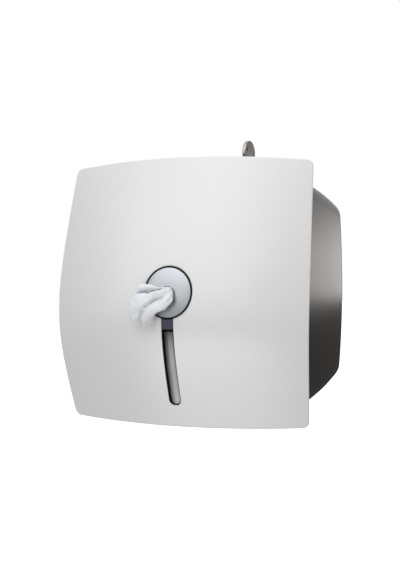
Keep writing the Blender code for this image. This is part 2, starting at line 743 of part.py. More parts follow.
def build_wall_plate(dark_plain):
    inset = SHELL_WALL + PLATE_EDGE_GAP
    outer = [(x, max(z, PLATE_BOTTOM)) for x, z in shell_outline(0, inset)]
    rings = [[(x, y, z) for x, z in outer] for y in (0, -PLATE_WALL)]
    bm = lofted(rings, closed=False, capped=True)
    bmesh.ops.remove_doubles(bm, verts=bm.verts, dist=GAP / 10)
    plate = make("wall_plate", bm, dark_plain)

    lumps = []
    cuts = []
    for side in (-1, 1):
        middle = side * HINGE_LUG_X
        lumps.append(lug(middle - HINGE_LUG_WIDTH / 2, middle + HINGE_LUG_WIDTH / 2))
        pad_front = PLATE_WALL + WALL_PAD_HEIGHT
        for z in (-WALL_HOLE_Z, WALL_HOLE_Z):
            place = facing_y(side * WALL_HOLE_X, 0, z)
            lumps.append(placed(rod(WALL_PAD_RADIUS, PLATE_WALL / 2, pad_front), place))
            cuts.append(placed(rod(WALL_HOLE_RADIUS, -OVERRUN, pad_front + OVERRUN), place))
        rib_end = WALL_HOLE_Z - WALL_PAD_RADIUS - RIB_HALF_WIDTH
        lumps.append(plate_rib(side * WALL_HOLE_X, 0, RIB_HALF_WIDTH, rib_end))
        lip_x = side * (REAR_HALF_WIDTH - PLATE_LIP_INSET)
        lumps.append(plate_rib(lip_x, 0, PLATE_LIP_WALL / 2, PLATE_LIP_HALF_SPAN, PLATE_LIP_HEIGHT))
    for z in (-WALL_HOLE_Z, WALL_HOLE_Z):
        lumps.append(plate_rib(0, z, WALL_HOLE_X - WALL_PAD_RADIUS - RIB_HALF_WIDTH, RIB_HALF_WIDTH))
    for x, z in keeper_screw_places():
        place = facing_y(x, -PLATE_WALL, z)
        lumps.append(placed(rod(KEEPER_BOSS_RADIUS, -PLATE_WALL / 2, KEEPER_STAND_OFF), place))
        hole_end = KEEPER_STAND_OFF - SCREW_GRIP - GAP
        cuts.append(placed(rod(SCREW_RADIUS + GAP, hole_end, KEEPER_STAND_OFF + OVERRUN), place))
    along = Matrix.Translation((0, HINGE_Y, HINGE_Z)) @ Matrix.Rotation(math.pi / 2, 4, "Y")
    for side in (-1, 1):
        near = side * HINGE_LUG_X - HINGE_LUG_WIDTH
        cuts.append(placed(rod(HINGE_PIN_RADIUS + GAP, near, near + 2 * HINGE_LUG_WIDTH), along))
    shaped(plate, "UNION", gathered(lumps), "plate_lumps")
    shaped(plate, "DIFFERENCE", gathered(cuts), "plate_cuts")
    return plate


def lug(start, end):
    """An arm that carries a hinge pin in front of the wall plate's bottom edge."""
    rise = PLATE_BOTTOM + HINGE_KNUCKLE_RADIUS
    back = -GAP
    points = [(back, rise), (back, HINGE_Z - HINGE_KNUCKLE_RADIUS / 2)]
    points += hinge_arc(-math.pi / 2, -3 * math.pi / 2)
    points.append((-PLATE_WALL, rise))
    return prism(points, start, end, YZ_TO_WORLD)


def keeper_levels():
    """Z of the keeper's web underside and Y of the back of its lip."""
    web_top = CAM_BOTTOM - KEEPER_WEB_DROP
    lip_back = LOCK_Y - CAM_HALF_WIDTH - KEEPER_CAM_GAP
    return web_top, lip_back


def keeper_screw_places():
    web_top, _ = keeper_levels()
    z = web_top - KEEPER_BASE_HEIGHT / 2 - KEEPER_SHEET / 2
    side = KEEPER_BOSS_RADIUS + GAP
    return [(KEEPER_LEFT + side, z), (KEEPER_LEFT + KEEPER_WIDTH - side, z)]


def build_keeper(steel):
    web_top, lip_back = keeper_levels()
    seat = -PLATE_WALL - KEEPER_STAND_OFF - GAP
    right = KEEPER_LEFT + KEEPER_WIDTH
    lip_right = KEEPER_LEFT + KEEPER_LIP_WIDTH
    points = [(seat, web_top - KEEPER_BASE_HEIGHT), (seat, web_top), (lip_back, web_top)]
    points += [(lip_back, web_top + KEEPER_LIP_HEIGHT), (lip_back - KEEPER_SHEET, web_top + KEEPER_LIP_HEIGHT)]
    points += [(lip_back - KEEPER_SHEET, web_top - KEEPER_SHEET), (seat - KEEPER_SHEET, web_top - KEEPER_SHEET)]
    points += [(seat - KEEPER_SHEET, web_top - KEEPER_BASE_HEIGHT)]
    keeper = make("lock_keeper", prism(points, KEEPER_LEFT, right, YZ_TO_WORLD), steel)
    cuts = [box((lip_right, lip_back - KEEPER_SHEET - OVERRUN, web_top - KEEPER_SHEET - OVERRUN),
                (right + OVERRUN, seat - KEEPER_SHEET - GAP, web_top + KEEPER_LIP_HEIGHT + OVERRUN))]
    for x, z in keeper_screw_places():
        cuts.append(placed(rod(SCREW_RADIUS + GAP, -OVERRUN, KEEPER_SHEET + OVERRUN), facing_y(x, seat, z)))
    shaped(keeper, "DIFFERENCE", gathered(cuts), "keeper_cuts")
    for (x, z), name in zip(keeper_screw_places(), ("keeper_screw_left", "keeper_screw_right")):
        place = facing_y(x, seat - KEEPER_SHEET - GAP, z)
        make(name, placed(screw(KEEPER_SHEET + SCREW_GRIP), place), steel)


def build_panel_screws(cover, steel):
    for (x, z), name in zip(screw_places(), ("bottom_left", "top_left", "bottom_right", "top_right")):
        seat = panel_y(x, z, PANEL_WALL) + PANEL_BOSS_HEIGHT + EAR_THICKNESS + GAP
        place = Matrix.Translation((x, seat, z)) @ Matrix.Rotation(-math.pi / 2, 4, "X")
        make("panel_screw_" + name, placed(screw(EAR_THICKNESS + SCREW_GRIP), place), steel, cover)
    for (x, z), name in zip(window_screw_places(), ("window_screw_left", "window_screw_right")):
        seat = panel_y(x, z, PANEL_WALL) + WINDOW_BOSS_HEIGHT + BEZEL_FLANGE_WALL + GAP
        place = Matrix.Translation((x, seat, z)) @ Matrix.Rotation(-math.pi / 2, 4, "X")
        make(name, placed(screw(BEZEL_FLANGE_WALL + SCREW_GRIP), place), steel, cover)


def build_nozzle(cover, nozzle, black, silver, grey):
    inner = HOUSING_RADIUS - HOUSING_WALL
    seat = inner - HOUSING_SEAT_WIDTH
    seat_end = HOUSING_SEAT_DEPTH + HOUSING_SEAT_WALL
    outer = HOUSING_RADIUS
    edge = HOUSING_PROUD / 2
    profile = [(inner, -edge), (inner + edge, -HOUSING_PROUD), (outer - edge, -HOUSING_PROUD), (outer, -edge)]
    profile += [(outer, HOUSING_DEPTH), (inner, HOUSING_DEPTH), (inner, seat_end), (seat, seat_end)]
    profile += [(seat, HOUSING_SEAT_DEPTH), (inner, HOUSING_SEAT_DEPTH)]
    make("nozzle_ring", placed(turned(profile, NOZZLE_STEPS, closed=True), nozzle_matrix()), black, cover)

    disc = inner - GAP
    skirt = disc - HOUSING_SEAT_WIDTH
    throat = THROAT_RADIUS + THROAT_WALL
    foot = HOUSING_SEAT_DEPTH - GAP
    profile = [(disc, DISC_EDGE), (disc - DISC_EDGE, 0)]
    for share in DISC_SHARES:
        radius = throat + (disc - throat) * share
        profile.append((radius, -DISC_CROWN * (1 - share ** 2)))
    mouth = THROAT_RADIUS
    profile += [(mouth + 2 * DISC_LIP, -DISC_CROWN), (mouth + DISC_LIP, -DISC_CROWN - DISC_LIP / 4)]
    profile += [(mouth, -DISC_CROWN + DISC_LIP), (mouth, THROAT_LENGTH), (throat, THROAT_LENGTH)]
    profile += [(throat, DISC_WALL / 2), (skirt, DISC_WALL), (skirt, foot), (disc, foot)]
    make("nozzle_disc", placed(turned(profile, NOZZLE_STEPS, closed=True), nozzle_matrix()), silver, nozzle)

    nut = HOUSING_RADIUS + GAP
    outer = nut + LOCKNUT_WALL
    far = LOCKNUT_PLANE + LOCKNUT_DEPTH
    profile = [(nut, LOCKNUT_PLANE), (outer, LOCKNUT_PLANE), (outer, far), (nut, far)]
    nut_shape = placed(turned(profile, NOZZLE_STEPS, closed=True), nozzle_matrix())
    locknut = make("nozzle_locknut", nut_shape, grey, cover)
    notches = []
    for step in range(LOCKNUT_NOTCHES):
        turn = Matrix.Rotation(2 * math.pi * step / LOCKNUT_NOTCHES, 4, "Z")
        low = (nut + LOCKNUT_WALL / 2, -LOCKNUT_NOTCH / 2, LOCKNUT_PLANE - OVERRUN)
        notch = box(low, (nut + LOCKNUT_WALL + OVERRUN, LOCKNUT_NOTCH / 2, far + OVERRUN))
        notches.append(placed(notch, nozzle_matrix() @ turn))
    shaped(locknut, "DIFFERENCE", gathered(notches), "locknut_notches")

    rim = inner - GAP
    start = seat_end + GAP
    small = THROAT_LENGTH + GAP
    end = small + FUNNEL_LENGTH
    wall = FUNNEL_WALL
    profile = [(rim, start), (rim, end), (rim - wall, end), (throat, small + wall)]
    profile += [(THROAT_RADIUS, small + wall / 2), (THROAT_RADIUS, small), (throat + wall, small)]
    profile += [(rim - wall, end - 2 * wall), (rim - wall, start)]
    make("feed_funnel", placed(turned(profile, NOZZLE_STEPS, closed=True), nozzle_matrix()), grey, cover)


def build_window(cover, black, smoke, slate):
    edge = -GAP
    top = CAP_BOTTOM - GAP

    def loop(grow, inward, behind):
        points = []
        for x, z in slot_outline(grow, top - inward):
            points.append((x, panel_y(x, z, behind), z))
        return points

    flange = WINDOW_BOSS_HEIGHT + PANEL_WALL
    flange_back = flange + BEZEL_FLANGE_WALL
    inset = BEZEL_EDGE + BEZEL_SLOPE
    rings = [loop(edge, 0, BEZEL_SET_BACK), loop(edge - BEZEL_EDGE, BEZEL_EDGE, BEZEL_SET_BACK)]
    rings += [loop(edge - inset, inset, BEZEL_DEPTH), loop(edge - inset, inset, flange_back)]
    rings += [loop(BEZEL_FLANGE, 0, flange_back), loop(BEZEL_FLANGE, 0, flange), loop(edge, 0, flange)]
    bezel = make("window_bezel", lofted(rings), black, cover)
    ears = []
    holes = []
    for x, z in window_screw_places():
        front = panel_y(x, z, PANEL_WALL) + WINDOW_BOSS_HEIGHT
        side = math.copysign(1, x)
        start, end = sorted((side * (SLOT_HALF_WIDTH + BEZEL_FLANGE / 2), x + side * WINDOW_EAR_HALF))
        high = (end, front + BEZEL_FLANGE_WALL, z + WINDOW_EAR_HALF)
        ears.append(box((start, front, z - WINDOW_EAR_HALF), high))
        hole = rod(SCREW_RADIUS + GAP, -BEZEL_FLANGE_WALL - OVERRUN, OVERRUN)
        holes.append(placed(hole, facing_y(x, front, z)))
    shaped(bezel, "UNION", gathered(ears), "bezel_ears")
    shaped(bezel, "DIFFERENCE", gathered(holes), "bezel_holes")

    half = SLOT_HALF_WIDTH - inset - 2 * GAP
    radius = SLOT_END_RADIUS - inset
    low = SLOT_BOTTOM + inset + 2 * GAP
    high = top - inset - GAP
    sections = []
    for station in range(PANE_STATIONS + 1):
        share = station / PANE_STATIONS
        z = high + (low - high) * math.sin(share * math.pi / 2)
        wide = max(slot_half_width(z, low, half, radius), half / 4)
        front = []
        for column in PANE_COLUMN_SHARES:
            crown = PANE_CROWN * (column * wide / half) ** 2
            front.append((column * wide, panel_y(0, z, BEZEL_DEPTH + crown), z))
        rear = [(x, panel_y(0, z, BEZEL_DEPTH + PANE_CROWN + PANE_WALL), z) for x, _, _ in reversed(front)]
        sections.append(front + rear)
    make("level_window", lofted(sections, closed=False, capped=True), smoke, cover)

    ring_edge = HOUSING_RADIUS + 2 * GAP
    half = SLOT_HALF_WIDTH - GAP
    front = panel_y(0, CAP_BOTTOM, -CAP_PROUD)
    cap_top = -ring_edge * math.cos(math.asin(half / ring_edge)) + OVERRUN
    shape = box((-half, front, CAP_BOTTOM), (half, front + CAP_DEPTH, cap_top))

    def on_face(edge):
        flat = all(abs(vert.co.y - front) < GAP for vert in edge.verts)
        return flat and min(vert.co.z for vert in edge.verts) < cap_top - GAP

    cap = make("window_cap", bevelled(shape, CAP_EDGE, on_face), slate, cover)
    around = rod(ring_edge, -HOUSING_DEPTH, HOUSING_DEPTH, NOZZLE_STEPS)
    shaped(cap, "DIFFERENCE", placed(around, nozzle_matrix()), "cap_round")


def is_across_x(edge):
    first, second = edge.verts
    return abs(first.co.x - second.co.x) < GAP


def build_lock(cover, plug, key, chrome, steel):
    axis = Matrix.Translation((0, LOCK_Y, 0))
    top = LOCK_TOP + GAP + BARREL_FLANGE
    bore = PLUG_RADIUS + GAP
    profile = [(bore, BARREL_BOTTOM), (BARREL_RADIUS, BARREL_BOTTOM), (BARREL_RADIUS, LOCK_TOP + GAP)]
    profile += [(BARREL_FLANGE_RADIUS, LOCK_TOP + GAP), (BARREL_FLANGE_RADIUS, top - BARREL_FLANGE / 3)]
    profile += [(BARREL_FLANGE_RADIUS - BARREL_FLANGE / 3, top), (bore, top)]
    make("lock_barrel", placed(turned(profile, closed=True), axis), chrome, cover)

    nut_top = LOCK_INNER_Z - GAP
    nut_bottom = nut_top - LOCKING_NUT_HEIGHT
    nut_bore = BARREL_RADIUS + GAP
    wide = LOCKING_NUT_RADIUS
    rings = []
    for height, radius in ((nut_bottom, nut_bore), (nut_bottom, wide), (nut_top, wide), (nut_top, nut_bore)):
        points = []
        for step in range(NUT_STEPS):
            angle = 2 * math.pi * step / NUT_STEPS
            flat = math.cos(math.pi / 6) / math.cos((angle + math.pi / 6) % (math.pi / 3) - math.pi / 6)
            reach = radius * flat if radius > nut_bore else radius
            points.append((reach * math.cos(angle), LOCK_Y + reach * math.sin(angle), height))
        rings.append(points)
    make("lock_nut", lofted(rings), steel, cover)

    plug_bottom = CAM_BOTTOM - GAP
    screw_hole = SCREW_RADIUS + GAP
    hole_end = plug_bottom + SCREW_GRIP + GAP
    profile = [(0, top), (PLUG_RADIUS, top), (PLUG_RADIUS, CAM_TOP + GAP), (PLUG_TAIL_RADIUS, CAM_TOP + GAP)]
    profile += [(PLUG_TAIL_RADIUS, plug_bottom), (screw_hole, plug_bottom), (screw_hole, hole_end), (0, hole_end)]
    barrel_plug = make("lock_plug", placed(turned(profile), axis), chrome, plug)
    low = (-KEYWAY_WIDTH / 2, LOCK_Y - KEYWAY_HEIGHT / 2, top - KEYWAY_DEPTH)
    keyway = box(low, (KEYWAY_WIDTH / 2, LOCK_Y + KEYWAY_HEIGHT / 2, top + OVERRUN))
    shaped(barrel_plug, "DIFFERENCE", keyway, "keyway")

    points = []
    start = math.asin(CAM_HALF_WIDTH / CAM_HUB_RADIUS)
    for step in range(2 * ARC_STEPS + 1):
        angle = math.pi / 2 + start + (math.pi - start) * step / ARC_STEPS
        points.append((CAM_HUB_RADIUS * math.cos(angle), LOCK_Y + CAM_HUB_RADIUS * math.sin(angle)))
    shoulder = math.sqrt(CAM_LENGTH ** 2 - CAM_HALF_WIDTH ** 2)
    tip = math.atan2(shoulder, CAM_HALF_WIDTH)
    for step in range(ARC_STEPS + 1):
        angle = tip + (math.pi - 2 * tip) * step / ARC_STEPS
        points.append((CAM_LENGTH * math.cos(angle), LOCK_Y + CAM_LENGTH * math.sin(angle)))
    cam = make("lock_cam", prism(points, CAM_BOTTOM, CAM_TOP), steel, plug)
    hole = rod(PLUG_TAIL_RADIUS + GAP, CAM_BOTTOM - OVERRUN, CAM_TOP + OVERRUN)
    shaped(cam, "DIFFERENCE", placed(hole, axis), "cam_hole")
    under = Matrix.Translation((0, LOCK_Y, plug_bottom - GAP)) @ Matrix.Rotation(math.pi, 4, "X")
    make("cam_screw", placed(screw(SCREW_GRIP), under), steel, plug)

    bow = top + KEY_BOW_RISE - KEY_BOW_RADIUS
    stem_bottom = top + 2 * GAP
    points = []
    start = math.asin(KEY_STEM_HALF_WIDTH / KEY_BOW_RADIUS)
    for step in range(ROUND_STEPS + 1):
        angle = -math.pi / 2 + start + (2 * math.pi - 2 * start) * step / ROUND_STEPS
        points.append((LOCK_Y + KEY_BOW_RADIUS * math.cos(angle), bow + KEY_BOW_RADIUS * math.sin(angle)))
    points += [(LOCK_Y - KEY_STEM_HALF_WIDTH, stem_bottom), (LOCK_Y + KEY_STEM_HALF_WIDTH, stem_bottom)]
    shape = prism(points, -KEY_THICKNESS / 2, KEY_THICKNESS / 2, YZ_TO_WORLD)
    key_part = make("key", bevelled(shape, KEY_EDGE, is_across_x, 1), steel, key)
    low = (-KEY_BLADE_THICKNESS / 2, LOCK_Y - KEY_BLADE_WIDTH / 2, stem_bottom - KEY_BLADE_LENGTH)
    blade = box(low, (KEY_BLADE_THICKNESS / 2, LOCK_Y + KEY_BLADE_WIDTH / 2, stem_bottom + OVERRUN))
    shaped(key_part, "UNION", blade, "key_blade")
    middle = Matrix.Translation((0, LOCK_Y - KEY_HOLE_FORWARD, bow + KEY_HOLE_UP))
    turn = middle @ Matrix.Rotation(math.pi / 2, 4, "Y")
    hole = rod(KEY_HOLE_RADIUS, -KEY_THICKNESS, KEY_THICKNESS)
    shaped(key_part, "DIFFERENCE", placed(hole, turn), "key_hole")


def build_roll(cover, paper):
    half = ROLL_WIDTH / 2
    inner = ROLL_HOLE_RADIUS
    outer = ROLL_RADIUS
    edge = ROLL_EDGE
    profile = [(inner, -half + edge), (inner + edge, -half), (outer - edge, -half), (outer, -half + edge)]
    profile += [(outer, half - edge), (outer - edge, half), (inner + edge, half), (inner, half - edge)]
    place = facing_y(0, (ROLL_FRONT_Y + ROLL_REAR_Y) / 2, 0)
    make("paper_roll", placed(turned(profile, NOZZLE_STEPS, closed=True), place), paper, cover)


def build_cradle(cover, grey):
    inner = ROLL_RADIUS + GAP
    outer = inner + CRADLE_WALL
    rear = ROLL_REAR_Y - CRADLE_REAR_ROOM
    front = ROLL_FRONT_Y + CRADLE_FRONT_ROOM

    def arc(radius, half_angle):
        points = []
        for step in range(CRADLE_STEPS + 1):
            angle = -math.pi / 2 - half_angle + 2 * half_angle * step / CRADLE_STEPS
            points.append((radius * math.cos(angle), radius * math.sin(angle)))
        return points

    section = arc(inner, CRADLE_HALF_ANGLE) + arc(outer, CRADLE_HALF_ANGLE)[::-1]
    trough = [[(x, y, z) for x, z in section] for y in (rear, front)]
    cradle = make("roll_cradle", lofted(trough, closed=False, capped=True), grey, cover)
    ribs = []
    middle = inner + CRADLE_WALL / 2
    for rib in range(CRADLE_RIBS):
        share = (rib + 0.5) / CRADLE_RIBS
        y = rear + (front - rear) * share
        depth = SHELL_REAR_Y - (y - CRADLE_RIB_WALL / 2)
        half_angle = math.asin(CRADLE_RIB_HALF_SPAN / middle)
        upper = arc(middle, half_angle)
        lower = []
        for x, _ in reversed(upper):
            lower.append((x, shell_floor_z(x, depth - CRADLE_RIB_WALL) + GAP))
        rings = [[(x, y + side * CRADLE_RIB_WALL / 2, z) for x, z in upper + lower] for side in (1, -1)]
        ribs.append(lofted(rings, closed=False, capped=True))
    shaped(cradle, "UNION", gathered(ribs), "cradle_ribs")


# Sections of the tissue in shares of the nozzle ring's radius. Each has its upper and its lower end as
# (x, distance in front of the nozzle, z), then its thickness and the height of its folds
TAIL_SHARES = (
    ((0.00, -2.35, -0.53), (0.00, -2.35, -0.99), 0.40, 0.00),
    ((0.00, -1.70, -0.26), (0.00, -1.70, -0.66), 0.34, 0.00),
    ((0.00, -1.05, 0.02), (0.00, -1.05, -0.31), 0.32, 0.00),
    ((0.00, -0.50, 0.11), (0.00, -0.50, -0.22), 0.32, 0.00),
    ((-0.02, 0.06, 0.16), (0.02, 0.06, -0.16), 0.32, 0.00),
    ((-0.16, 0.20, 0.19), (0.16, 0.18, -0.20), 0.28, 0.02),
    ((-0.44, 0.36, 0.24), (0.19, 0.26, -0.36), 0.22, 0.05),
    ((-0.80, 0.50, 0.30), (0.10, 0.32, -0.54), 0.17, 0.08),
    ((-1.08, 0.56, 0.20), (-0.10, 0.37, -0.72), 0.14, 0.10),
    ((-1.27, 0.58, -0.06), (-0.28, 0.40, -0.86), 0.13, 0.11),
    ((-1.35, 0.57, -0.40), (-0.40, 0.42, -1.00), 0.12, 0.11),
    ((-1.35, 0.54, -0.76), (-0.48, 0.43, -1.14), 0.11, 0.10),
    ((-1.30, 0.50, -1.12), (-0.54, 0.43, -1.28), 0.10, 0.09),
    ((-1.24, 0.47, -1.42), (-0.62, 0.42, -1.42), 0.07, 0.07),
)


def build_tissue(cover, paper):
    unit = HOUSING_RADIUS
    nose = Vector((0, panel_y(0, 0), 0))
    ends = []
    for upper, lower, thick, fold in TAIL_SHARES:
        pair = [nose + Vector((x, -forward, z)) * unit for x, forward, z in (upper, lower)]
        ends.append((pair[0], pair[1], thick * unit, fold * unit))
    middles = [(upper + lower) / 2 for upper, lower, _, _ in ends]
    rings = []
    for index, (upper, lower, thick, fold) in enumerate(ends):
        along = middles[min(index + 1, len(middles) - 1)] - middles[max(index - 1, 0)]
        side = along.cross(upper - lower).normalized()
        front = []
        back = []
        for step in range(TAIL_SIDE_POINTS):
            share = (1 - math.cos(math.pi * (step + 0.5) / TAIL_SIDE_POINTS)) / 2
            round_off = math.sqrt(max(1 - (2 * share - 1) ** 2, 0))
            wave = side * (fold * math.cos(2 * math.pi * TAIL_WAVES * share))
            place = upper + (lower - upper) * share + wave
            front.append(place + side * (thick / 2 * round_off))
            back.append(place - side * (thick / 2 * round_off))
        rings.append(front + back[::-1])
    make("tissue_tail", lofted(rings, closed=False, capped=True), paper, cover)


def main():
    clear_scene()
    white = finish("white_gloss_panel", (0.78, 0.78, 0.77), 0.32, 0)
    dark = finish("dark_metallic_shell", (0.16, 0.15, 0.145), 0.28, 0.6)
    dark_plain = finish("dark_wall_plate", (0.09, 0.09, 0.09), 0.5, 0)
    black = finish("black_gloss", (0.012, 0.012, 0.013), 0.25, 0)
    silver = finish("satin_silver", (0.60, 0.62, 0.64), 0.34, 0.9)
    grey = finish("grey_moulding", (0.32, 0.32, 0.33), 0.5, 0)
    smoke = finish("smoked_window", (0.10, 0.10, 0.11), 0.12, 0)
    slate = finish("slate_satin", (0.085, 0.09, 0.11), 0.45, 0)
    steel = finish("zinc_steel", (0.55, 0.55, 0.54), 0.35, 1)
    chrome = finish("chrome_lock", (0.75, 0.75, 0.75), 0.15, 1)
    paper = finish("white_tissue", (0.86, 0.87, 0.89), 0.95, 0)

    cover = axis_empty("cover_hinge_axis", (0, HINGE_Y, HINGE_Z))
    nozzle = axis_empty("nozzle_axis", (0, panel_y(0, 0), 0), cover)
    plug = axis_empty("lock_axis", (0, LOCK_Y, LOCK_TOP), cover)
    key = axis_empty("key_axis", (0, LOCK_Y, LOCK_TOP), plug)
    bpy.context.view_layer.update()

    build_panel(cover, white)
    build_shell(cover, dark)
    build_hinge_pins(steel)
    build_wall_plate(dark_plain)
    build_keeper(steel)
    build_panel_screws(cover, steel)
    build_nozzle(cover, nozzle, black, silver, grey)
    build_window(cover, black, smoke, slate)
    build_lock(cover, plug, key, chrome, steel)
    build_roll(cover, paper)
    build_cradle(cover, grey)
    build_tissue(cover, paper)
    print("hinge axis", HINGE_Y, HINGE_Z, "nozzle", panel_y(0, 0), "lock top", LOCK_TOP)


main()
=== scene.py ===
from math import asin, cos, hypot, pi, radians, sin, sqrt, tan

import bmesh
import bpy
from mathutils import Matrix, Vector, noise


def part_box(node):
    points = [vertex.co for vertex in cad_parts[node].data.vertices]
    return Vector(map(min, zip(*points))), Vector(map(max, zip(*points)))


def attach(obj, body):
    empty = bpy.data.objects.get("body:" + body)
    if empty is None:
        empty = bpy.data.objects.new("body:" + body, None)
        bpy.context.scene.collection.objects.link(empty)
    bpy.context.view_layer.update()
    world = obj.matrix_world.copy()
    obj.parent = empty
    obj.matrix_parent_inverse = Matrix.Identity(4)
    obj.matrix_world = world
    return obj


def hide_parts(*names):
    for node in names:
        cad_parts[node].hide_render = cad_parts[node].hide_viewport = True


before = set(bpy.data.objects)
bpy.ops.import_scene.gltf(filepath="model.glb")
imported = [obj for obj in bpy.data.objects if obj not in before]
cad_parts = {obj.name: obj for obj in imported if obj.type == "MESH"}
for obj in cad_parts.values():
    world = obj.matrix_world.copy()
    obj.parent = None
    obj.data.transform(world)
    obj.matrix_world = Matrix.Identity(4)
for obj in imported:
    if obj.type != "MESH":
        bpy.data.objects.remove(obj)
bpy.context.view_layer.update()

print("frame loaded")


# camera: it looks at the nozzle's height from the right, a little above level
cameraSettings = {
    "place": (0.60405, -1.44180, 0.02806), "turn": 26.8, "rise": 1.2, "roll": 0.12, "sensor": 36,
    "lens": 77.69, "shift": (0.05796, 0.01315),
}


def placeCamera(s):
    turn, rise, roll = (radians(s[name]) for name in ("turn", "rise", "roll"))
    aimed = Matrix.Rotation(turn, 4, "Z") @ Matrix.Rotation(pi / 2 - rise, 4, "X")
    lens = bpy.data.cameras.new("camera")
    lens.sensor_width = s["sensor"]
    lens.lens = s["lens"]
    lens.shift_x, lens.shift_y = s["shift"]
    camera = bpy.data.objects.new("camera", lens)
    camera.matrix_world = Matrix.Translation(s["place"]) @ aimed @ Matrix.Rotation(-roll, 4, "Z")
    bpy.context.scene.collection.objects.link(camera)
    bpy.context.scene.camera = camera


placeCamera(cameraSettings)
print("camera placed")


# shader sums: a Field is one socket, and the usual signs on it add Math nodes
class Field:
    def __init__(self, tree, socket):
        self.tree = tree
        self.socket = socket

    def join(self, operation, *others):
        node = self.tree.nodes.new("ShaderNodeMath")
        node.operation = operation
        for slot, other in zip(node.inputs, others):
            fill(self.tree, slot, other)
        return Field(self.tree, node.outputs[0])

    def __add__(self, other):
        return self.join("ADD", self, other)

    def __radd__(self, other):
        return self.join("ADD", other, self)

    def __sub__(self, other):
        return self.join("SUBTRACT", self, other)

    def __rsub__(self, other):
        return self.join("SUBTRACT", other, self)

    def __mul__(self, other):
        return self.join("MULTIPLY", self, other)

    def __rmul__(self, other):
        return self.join("MULTIPLY", other, self)

    def __pow__(self, other):
        return self.join("POWER", self, other)

    def absolute(self):
        return self.join("ABSOLUTE", self)

    def highest(self, other):
        return self.join("MAXIMUM", self, other)


def fill(tree, slot, value):      # links a Field, or sets a plain value
    if isinstance(value, Field):
        tree.links.new(value.socket, slot)
    else:
        slot.default_value = value


class Finish:
    def __init__(self, name, settings):
        self.material = bpy.data.materials.new(name)
        self.material.use_nodes = True
        self.tree = self.material.node_tree
        self.shader = self.tree.nodes["Principled BSDF"]
        self.normal = None
        for socket, value in settings.items():
            self.shader.inputs[socket].default_value = value

    def node(self, kind, settings=None, values=None, out=0):
        made = self.tree.nodes.new(kind)
        for key, value in (settings or {}).items():
            setattr(made, key, value)
        for key, value in (values or {}).items():
            fill(self.tree, made.inputs[key], value)
        return Field(self.tree, made.outputs[out])

    def coordinates(self, place=(0, 0, 0), turn=(0, 0, 0), scale=(1, 1, 1)):
        plain = self.node("ShaderNodeTexCoord", out="Object")
        moved = self.node("ShaderNodeVectorMath", {"operation": "SUBTRACT"}, {0: plain, 1: place})
        values = {"Vector": moved, "Rotation": turn, "Scale": scale}
        return self.node("ShaderNodeMapping", {"vector_type": "POINT"}, values)

    def noise(self, where, scale, detail=2.0, roughness=0.5):
        values = {"Vector": where, "Scale": scale, "Detail": detail, "Roughness": roughness}
        return self.node("ShaderNodeTexNoise", None, values)

    def cells(self, where, scale, out):
        return self.node("ShaderNodeTexVoronoi", None, {"Vector": where, "Scale": scale}, out=out)

    def ranged(self, value, low, high, toLow=0.0, toHigh=1.0, smooth=True):
        kind = {"interpolation_type": "SMOOTHSTEP" if smooth else "LINEAR"}
        values = {"Value": value, "From Min": low, "From Max": high, "To Min": toLow, "To Max": toHigh}
        return self.node("ShaderNodeMapRange", kind, values)

    def mixed(self, share, first, second):
        return self.node("ShaderNodeMix", {"data_type": "RGBA"}, {0: share, 6: first, 7: second}, out=2)

    def axis(self, where, name):
        return self.node("ShaderNodeSeparateXYZ", None, {"Vector": where}, out=name)

    def feed(self, socket, value):
        self.tree.links.new(value.socket, self.shader.inputs[socket])

    def roughen(self, s, **patterns):      # each pattern raises and lowers the roughness by its spread
        level = s["roughness"]
        for name, pattern in patterns.items():
            level = level + s[name + "Spread"] * (pattern - 0.5)
        self.feed("Roughness", level)

    def relief(self, height, distance, strength=1.0):      # each one lies on the one before
        values = {"Height": height, "Distance": distance, "Strength": strength}
        if self.normal is not None:
            values["Normal"] = self.normal
        self.normal = self.node("ShaderNodeBump", None, values)
        self.feed("Normal", self.normal)


def tint(red, green, blue):
    return (red, green, blue, 1.0)


# front panel: glossy white moulding with a faint ripple and a fine skin
panelFinish = {
    "base": tint(0.755, 0.755, 0.753), "shade": tint(0.74, 0.74, 0.738), "index": 2.1, "roughness": 0.33,
    "cloudScale": 7.0, "cloudSpread": 0.05, "rippleScale": 38.0, "ripple": 0.00012, "grainScale": 1500.0,
    "grain": 0.00002, "grainSpread": 0.03,
}


def makePanelGloss(s):
    finish = Finish("panelGloss", {"IOR": s["index"]})
    where = finish.coordinates()
    ripple = finish.noise(where, s["rippleScale"])
    grain = finish.noise(where, s["grainScale"], 1.0)
    cloud = finish.noise(where, s["cloudScale"], 3.0)
    finish.feed("Base Color", finish.mixed(finish.ranged(cloud, 0.3, 0.7), s["base"], s["shade"]))
    finish.roughen(s, cloud=cloud, grain=grain)
    finish.relief(ripple, s["ripple"])
    finish.relief(grain, s["grain"])
    return finish.material


# shell: warm dark grey with a metallic sheen, fine flakes in its colour
shellFinish = {
    "base": tint(0.208, 0.182, 0.167), "flake": tint(0.171, 0.150, 0.137), "metallic": 0.92, "roughness": 0.32,
    "flakeScale": 2600.0, "flakeShare": 0.5, "flakeSpread": 0.04, "cloudScale": 9.0, "cloudShare": 0.3,
    "cloudSpread": 0.05, "waveScale": 24.0, "wave": 0.0001, "rimShadowTone": tint(0.006, 0.006, 0.006),
    "rimStart": -0.0076, "rimEnd": -0.0068, "rimSpread": 0.3,
}


